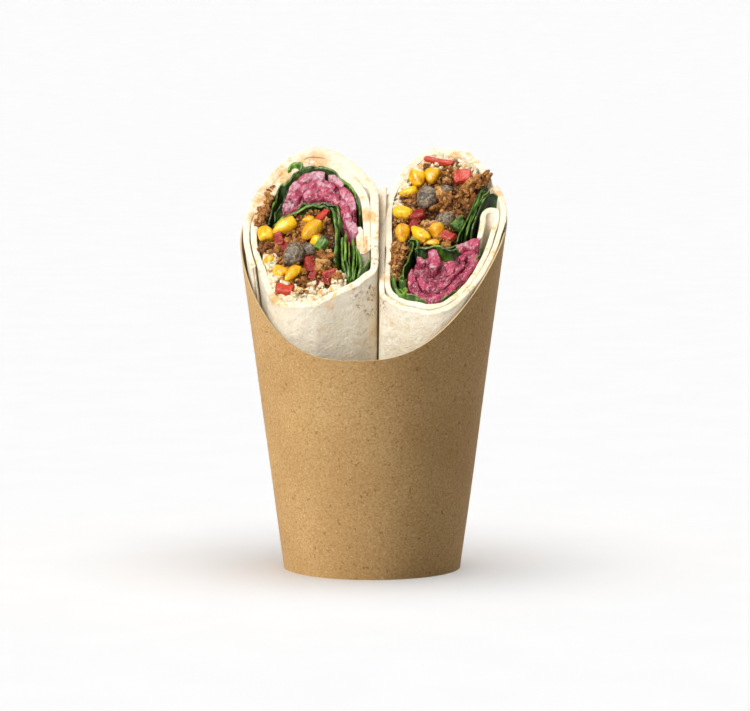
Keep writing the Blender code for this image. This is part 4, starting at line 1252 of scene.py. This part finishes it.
PEPPER_AT = {
    "left": ((-11.3, 0.4, 7.6, 3.8, 106, 0.7, 0), (-10.0, -3.0, 5.0, 3.2, 70, 0.2, 0),
             (4.2, 5.2, 6.0, 3.0, 58, 1.2, 0), (-0.8, -10.2, 7.2, 3.6, 104, 0.5, 0),
             (0.2, -13.6, 5.4, 3.0, 76, 0.4, 0), (-10.4, -18.0, 6.4, 3.6, -10, 1.0, 0),
             (6.0, -15.4, 4.6, 3.6, 30, 0.6, 0), (3.0, -17.6, 4.6, 2.4, 60, 0.3, 0)),
    "right": ((-1.2, 27.4, 10.6, 2.8, -14, 1.4, 0), (6.4, 20.8, 6.0, 5.2, 16, 0.8, 0),
              (-8.7, 9.8, 5.8, 4.6, 20, 0.6, 0), (-9.4, 6.6, 6.4, 3.0, 74, 0.2, 0),
              (2.8, 0.2, 5.2, 3.6, -30, 0.9, 0), (1.0, 1.6, 3.4, 2.4, 40, 0.6, 0)),
}
THICK = {"corn": 0.88, "bean": 0.95, "pepper": 0.75}


def lay_items(kind, table, form, finish, seed, bumps):
    """One piece of each kind for each half, from a table of places."""
    for half in (LEFT, RIGHT):
        rows = np.array(table[half.label], float)
        sizes = np.c_[rows[:, 2], rows[:, 3], THICK[kind] * rows[:, 3]]
        add_lumps(kind + "_", half, form, FINE_BALL, rows[:, :2], sizes, rows[:, 4], finish, seed,
                  lift=rows[:, 5] - 0.3, tilts=rows[:, 6], bumps=bumps)


lay_items("corn", CORN_AT, kernel_form, corn, 401, 0.08)
lay_items("bean", BEANS_AT, bean_form, bean, 402, 0.03)
lay_items("pepper", PEPPER_AT, dice_form, pepper, 403, 0.2)

# %% [markdown]
# ## Loose crumbs
#
# Over the bed lie chunks, bits and grains. They are thrown evenly over the region, and those that
# would land on a kernel, a bean or in a dark hollow are dropped. Bits and grains come in hundreds,
# so each has only 42 triangles.

# %% Crumbs


def throw(border, count, seed, margin):
    """Random spots inside a border, at least a margin from it."""
    spots = np.random.default_rng(seed).uniform(border.min(axis=0), border.max(axis=0),
                                                (count * 4, 2))
    return spots[inside(border, spots[:, 0], spots[:, 1]) > margin][:count]


def clear_of(spots, half, holes, share):
    """Spots that lie outside the ovals of the larger pieces and the hollows."""
    keep = np.ones(len(spots), bool)
    for table in (CORN_AT, BEANS_AT, PEPPER_AT):
        for x, y, length, width, turn, *_ in table[half.label]:
            angle = math.radians(turn)
            across = spots[:, 0] - x
            upward = (spots[:, 1] - y) / math.cos(half.slope)
            along = across * math.cos(angle) + upward * math.sin(angle)
            aside = upward * math.cos(angle) - across * math.sin(angle)
            keep &= np.hypot(along / length, aside / width) > 0.5 * share
    for x, y, radius, _ in holes:
        keep &= np.hypot(spots[:, 0] - x, spots[:, 1] - y) > 1.15 * radius
    return spots[keep]


# Each kind: how many, smallest, largest, ball, margin, share, lift, bumps, crisp.
CRUMB_KINDS = (
    ("chunks", 64, 3.4, 5.8, MIDDLE_BALL, 1.2, 1.35, -0.6, 0.55, False),
    ("bits", 230, 1.5, 3.0, SMALL_BALL, 0.5, 1.0, -0.1, 0.45, True),
    ("grains", 480, 0.6, 1.4, SMALL_BALL, 0.1, 0.92, 0.3, 0.4, True),
)


def scatter_crumbs(half, border, holes, seed):
    """Chunks, bits and grains over one region."""
    border = closed_curve(border, 200)
    for kind, count, low, high, base, margin, share, lift, bumps, crisp in CRUMB_KINDS:
        spots = clear_of(throw(border, count, seed, margin), half, holes, share)
        chance = np.random.default_rng(seed + 5)
        sizes = chance.uniform(low, high, (len(spots), 1))
        sizes = sizes * chance.uniform(0.6, 1.2, (len(spots), 3))
        turns = chance.uniform(0.0, 360.0, len(spots))
        rolls = chance.uniform(-60.0, 60.0, len(spots))
        flat = flat_points(spots)
        height = lift + 0.7 * rough(flat, 3.4, seed) + 0.5 * pits(flat, holes)
        shades = 0.5 + 0.32 * chance.standard_normal(len(spots))
        add_lumps("crumb_" + kind + "_", half, crumb_form, base, spots, sizes, turns, crumb, seed,
                  lift=height, rolls=rolls, bumps=bumps, shades=shades, crisp=crisp)
        seed += 1


scatter_crumbs(LEFT, LEFT_FILLING, LEFT_HOLES, 501)
scatter_crumbs(RIGHT, RIGHT_FILLING, RIGHT_HOLES, 511)

# %% [markdown]
# A narrow row of crumbs runs up the left side of each half, between the bread and a leaf. A few
# chunks spill over the torn bread at the upper right.

# %% Crumbs at the walls
LEFT_STRIP = [(-18.4, 6.6), (-16.2, 5.0), (-15.2, 8.4), (-13.4, 11.4), (-12.0, 15.0), (-11.2, 18.0),
              (-12.6, 17.0), (-15.6, 12.4), (-17.8, 9.0)]
RIGHT_STRIP = [(-16.2, 2.0), (-13.0, 1.0), (-12.4, -3.6), (-13.8, -8.4), (-15.0, -13.0),
               (-15.9, -12.0), (-16.4, -5.0)]
SPILLED = [(11.2, 18.6), (13.2, 19.6), (14.8, 19.6), (9.2, 18.2), (12.2, 17.2), (14.2, 18.0)]
SPILLED_SIZES = [(5.0, 3.6, 3.4), (4.6, 3.0, 3.0), (3.0, 2.6, 2.4), (4.2, 3.4, 3.0),
                 (3.4, 2.6, 2.6), (2.8, 2.2, 2.4)]

for half, strip, seed in ((LEFT, LEFT_STRIP, 521), (RIGHT, RIGHT_STRIP, 525)):
    spots = throw(closed_curve(strip, 120), 90, seed, 0.1)
    sizes = np.random.default_rng(seed + 1).uniform(1.4, 3.0, (len(spots), 3))
    add_lumps("crumb_strip_", half, crumb_form, MIDDLE_BALL, spots, sizes,
              np.linspace(0.0, 900.0, len(spots)), crumb, seed + 2, lift=-0.9, bumps=0.3)
add_lumps("crumb_spill_", RIGHT, crumb_form, MIDDLE_BALL, SPILLED, SPILLED_SIZES,
          [20.0, 35.0, 10.0, 60.0, 100.0, 0.0], crumb, 531, lift=0.9, bumps=0.3,
          shades=[0.6, 0.5, 0.6, 0.7, 0.45, 0.5])

# %% [markdown]
# ## The pickled onion
#
# The onion is a heap of thick bent slices. A bed fills the space between the leaves, and the
# slices stand in it with their broad cut ends up. Their paths follow the photograph.

# %% Onion


def onion_top(flat):
    """Low soft lumps well under the slices."""
    return -1.5 + 1.2 * lumpy(flat, 3.6, 601, 3)


bed("onion_bed_", LEFT, LEFT_ONION, (2.5, 14.6), onion_top, onion, 0.45, rings=60)
bed("onion_bed_", RIGHT, RIGHT_ONION, (1.0, -14.0), onion_top, onion, 0.15, rings=60)


def slice_onion(half, slices, darker, seed):
    """Bent slices: each has a thickness, a shade, a lift and its path."""
    all_points = []
    all_faces = []
    all_tones = []
    start = 0
    for thick, shade, lift, path in slices:
        path = even_path(path, 0.35)
        flat = flat_points(path)
        top = lift + 0.5 * rough(flat, 3.4, seed)
        thickness = thick * (1.0 + 0.38 * noise(flat, 3.0, seed + 3))
        points, depth = band(half, path, thickness, top, reach=7.0, rows=14, edge_rows=13,
                             round_edge=0.55)
        points = half.raised(points, 0.6 * rough(points, 2.2, seed + 5) * np.exp(-depth / 2.0))
        # Painted shade: each slice darkens with depth under its top.
        tone = shade + 0.5 * rough(points, 2.6, seed + 9) - 0.5 * smooth(depth / 2.4)
        all_points.append(points.reshape(-1, 3))
        all_faces.append(band_faces(*points.shape[:2]) + start)
        all_tones.append(np.clip(tone - darker, 0.0, 1.0).ravel())
        start += points.shape[0] * points.shape[1]
        seed += 1
    make_piece("onion_slices_" + half.label, np.concatenate(all_points), np.concatenate(all_faces),
               onion, stood_for(onion, half), shade=np.concatenate(all_tones))


LEFT_SLICES = (
    (2.2, 0.85, 0.5, [(-7.8, 12.2), (-5.6, 15.6), (-2.0, 18.4), (2.0, 19.2), (5.4, 18.6)]),
    (2.8, 0.5, 0.9, [(-5.6, 11.6), (-2.6, 14.6), (1.6, 16.0), (5.6, 15.2), (8.4, 13.0)]),
    (3.0, 0.4, 1.2, [(-1.8, 11.8), (1.4, 13.0), (5.0, 12.4), (8.0, 10.6), (10.0, 8.0)]),
    (1.3, 1.0, 0.6, [(6.6, 17.4), (9.4, 15.8), (11.4, 13.8)]),
    (2.4, 0.6, 0.9, [(10.4, 13.6), (12.6, 11.2), (14.2, 8.2), (14.6, 5.0)]),
    (2.6, 0.35, 0.7, [(10.8, 9.4), (12.0, 7.0), (12.6, 4.2), (13.2, 1.6)]),
    (2.4, 0.95, 0.9, [(12.6, 4.6), (13.4, 2.0), (14.8, 0.0), (15.2, -2.4)]),
    (2.2, 0.9, 0.2, [(-8.6, 10.6), (-6.6, 11.6), (-4.6, 11.6)]),
)
RIGHT_SLICES = (
    (3.0, 0.55, 0.6, [(-9.4, -11.0), (-9.0, -16.0), (-6.4, -20.6), (-2.2, -22.8), (2.4, -21.6),
                      (6.8, -17.8), (10.8, -13.0), (12.8, -8.0)]),
    (2.6, 0.45, 0.4, [(-6.2, -13.2), (-5.0, -17.0), (-1.4, -19.0), (2.6, -17.4), (5.6, -14.0),
                      (8.6, -10.2)]),
    (3.6, 0.85, 1.5, [(-3.6, -4.9), (-1.8, -6.6), (-1.2, -9.6), (-2.4, -12.6)]),
    (2.6, 0.6, 0.9, [(3.2, -9.6), (4.4, -12.2), (3.4, -15.0)]),
    (2.8, 0.95, 1.1, [(5.6, -5.8), (8.0, -4.4), (11.0, -3.2), (13.4, -4.4)]),
    (2.8, 0.5, 0.6, [(6.8, -9.2), (9.6, -7.2), (12.4, -7.8)]),
    (2.0, 0.95, 0.8, [(-7.6, -6.0), (-6.0, -7.6), (-5.6, -9.8)]),
    (2.0, 0.2, -0.6, [(-3.0, -15.0), (0.0, -16.2), (2.0, -14.8)]),
)
slice_onion(LEFT, LEFT_SLICES, -0.06, 611)
slice_onion(RIGHT, RIGHT_SLICES, 0.26, 631)

# %% [markdown]
# ## The soft cheese
#
# A smear of soft cheese lines the bread, thick and uneven, and crumbles of it mix with the filling
# beside it.

# %% Soft cheese


def smear(half, degrees, seed, thick, lift):
    """The cheese along the inside of the bread."""
    path = resample(half.inner_face(np.asarray(degrees, float), 0.45 + thick / 2.0), 0.35)
    flat = flat_points(path)
    thickness = thick * (1.0 + 0.4 * rough(flat, 3.2, seed))
    top = lift + 0.7 * rough(flat, 2.4, seed + 1)
    points, depth = band(half, path, thickness, top, edge_rows=11)
    points = half.raised(points, 0.45 * lumpy(points, 2.0, seed + 2) * np.exp(-depth / 2.0))
    points[..., 2] = np.maximum(points[..., 2], FLOOR)
    make_piece("cheese_smear_" + half.label, points, band_faces(*points.shape[:2]), cheese,
               stood_for(cheese, half))


def cheese_crumbles(half, first, last, count, reach, seed):
    """Small lumps of cheese, up to reach in from the smear."""
    chance = np.random.default_rng(seed)
    degrees = chance.uniform(first, last, count)
    inset = 1.8 + reach * chance.uniform(0.0, 1.0, count) ** 1.6
    spots = half.inner_face(degrees, inset)
    sizes = chance.uniform(0.9, 3.0, (count, 1)) * chance.uniform(0.6, 1.2, (count, 3))
    add_lumps("cheese_crumbles_", half, crumb_form, SMALL_BALL, spots, sizes,
              chance.uniform(0.0, 360.0, count), cheese, seed,
              lift=chance.uniform(-0.4, 0.6, count), bumps=0.4)


smear(LEFT, range(192, 306, 2), 701, 2.2, 0.2)
smear(RIGHT, range(56, 130, 2), 711, 2.6, 0.4)
cheese_crumbles(LEFT, 198.0, 304.0, 90, 3.4, 721)
cheese_crumbles(RIGHT, 56.0, 150.0, 80, 4.0, 731)

# %% [markdown]
# ## Light
#
# The photograph has a plain white ground and one large soft light from the left. The cup turns
# from light tan on its left to deep brown on its right, while the food stays bright. So the cup has
# a low key light of its own, and the food has a higher one. The white floor curves up far behind the
# cup and has its own light from above. A light from the back shows the rear of the rolls.

# %% Floor, lights and world
FLOOR_SIZE = 30.0
FLOOR_RINGS = 40
FLOOR_SIDES = 64
SWEEP_START = 4.0
SWEEP_HEIGHT = 5.0
WORLD_STRENGTH = 0.1


def add_sun(name, toward, strength, softness, colour=(1.0, 1.0, 1.0)):
    """A soft distant light that comes from a direction."""
    data = bpy.data.lights.new(name, "SUN")
    data.energy = strength
    data.angle = math.radians(softness)
    data.color = colour
    light = bpy.data.objects.new(name, data)
    light.rotation_euler = Vector(toward).to_track_quat("Z", "Y").to_euler()
    bpy.context.scene.collection.objects.link(light)
    return light


def light_only(light, pieces, state="INCLUDE"):
    """Aim a light at some pieces alone, or at everything but them."""
    lit = bpy.data.collections.new("lit_by_" + light.name)
    light.light_linking.receiver_collection = lit
    for piece in pieces:
        lit.objects.link(piece)
    for member in lit.collection_objects:
        member.light_linking.link_state = state


def studio_floor():
    """A flat round floor that curves up all round: its height is an S-curve of the radius."""
    radius = FLOOR_SIZE * np.linspace(0.0, 1.0, FLOOR_RINGS)[1:, None] ** 2
    turn = np.linspace(0.0, 2.0 * math.pi, FLOOR_SIDES, endpoint=False)[None, :]
    height = SWEEP_HEIGHT * smooth((radius - SWEEP_START) / (FLOOR_SIZE - SWEEP_START))
    rings = np.stack([radius * np.cos(turn), radius * np.sin(turn), height + 0.0 * turn], axis=-1)
    side = np.arange(FLOOR_SIDES)
    hub = np.stack([0 * side + rings.shape[0] * FLOOR_SIDES, side, (side + 1) % FLOOR_SIDES], axis=-1)
    faces = as_triangles(grid_faces(len(rings), FLOOR_SIDES)[:, ::-1])
    mesh = bpy.data.meshes.new("floor")
    mesh.from_pydata([*rings.reshape(-1, 3).tolist(), (0.0, 0.0, 0.0)], [],
                     [*faces.tolist(), *hub.tolist()])
    mesh.shade_smooth()
    return mesh


floor_mesh = studio_floor()
white = start_finish("white_table", None, "#F6F6F6", Roughness=0.9, Specular_IOR_Level=0.1)
layer(white, "#F5F5F5", 1.0, 40.0, 0.4, 0.6, 1.0)
floor_mesh.materials.append(white["material"])
floor = bpy.data.objects.new("floor", floor_mesh)
bpy.context.scene.collection.objects.link(floor)

add_sun("top", (0.05, -0.1, 1.0), 0.6, 50.0)
light_only(add_sun("table", (0.0, 0.0, 1.0), 2.4, 70.0), [floor])
light_only(add_sun("cup_key", (-0.80, -0.42, 0.50), 5.8, 32.0, (1.0, 0.985, 0.95)), [cup, base])
light_only(add_sun("food_key", (-0.45, -0.55, 0.80), 3.9, 40.0, (1.0, 0.99, 0.97)),
           [floor, cup, base], "EXCLUDE")
light_only(add_sun("back", (0.35, 0.85, 0.45), 2.4, 45.0), [floor], "EXCLUDE")

world = bpy.data.worlds.new("studio")
world.use_nodes = True
world.node_tree.nodes["Background"].inputs["Color"].default_value = (1.0, 1.0, 1.0, 1.0)
world.node_tree.nodes["Background"].inputs["Strength"].default_value = WORLD_STRENGTH
bpy.context.scene.world = world
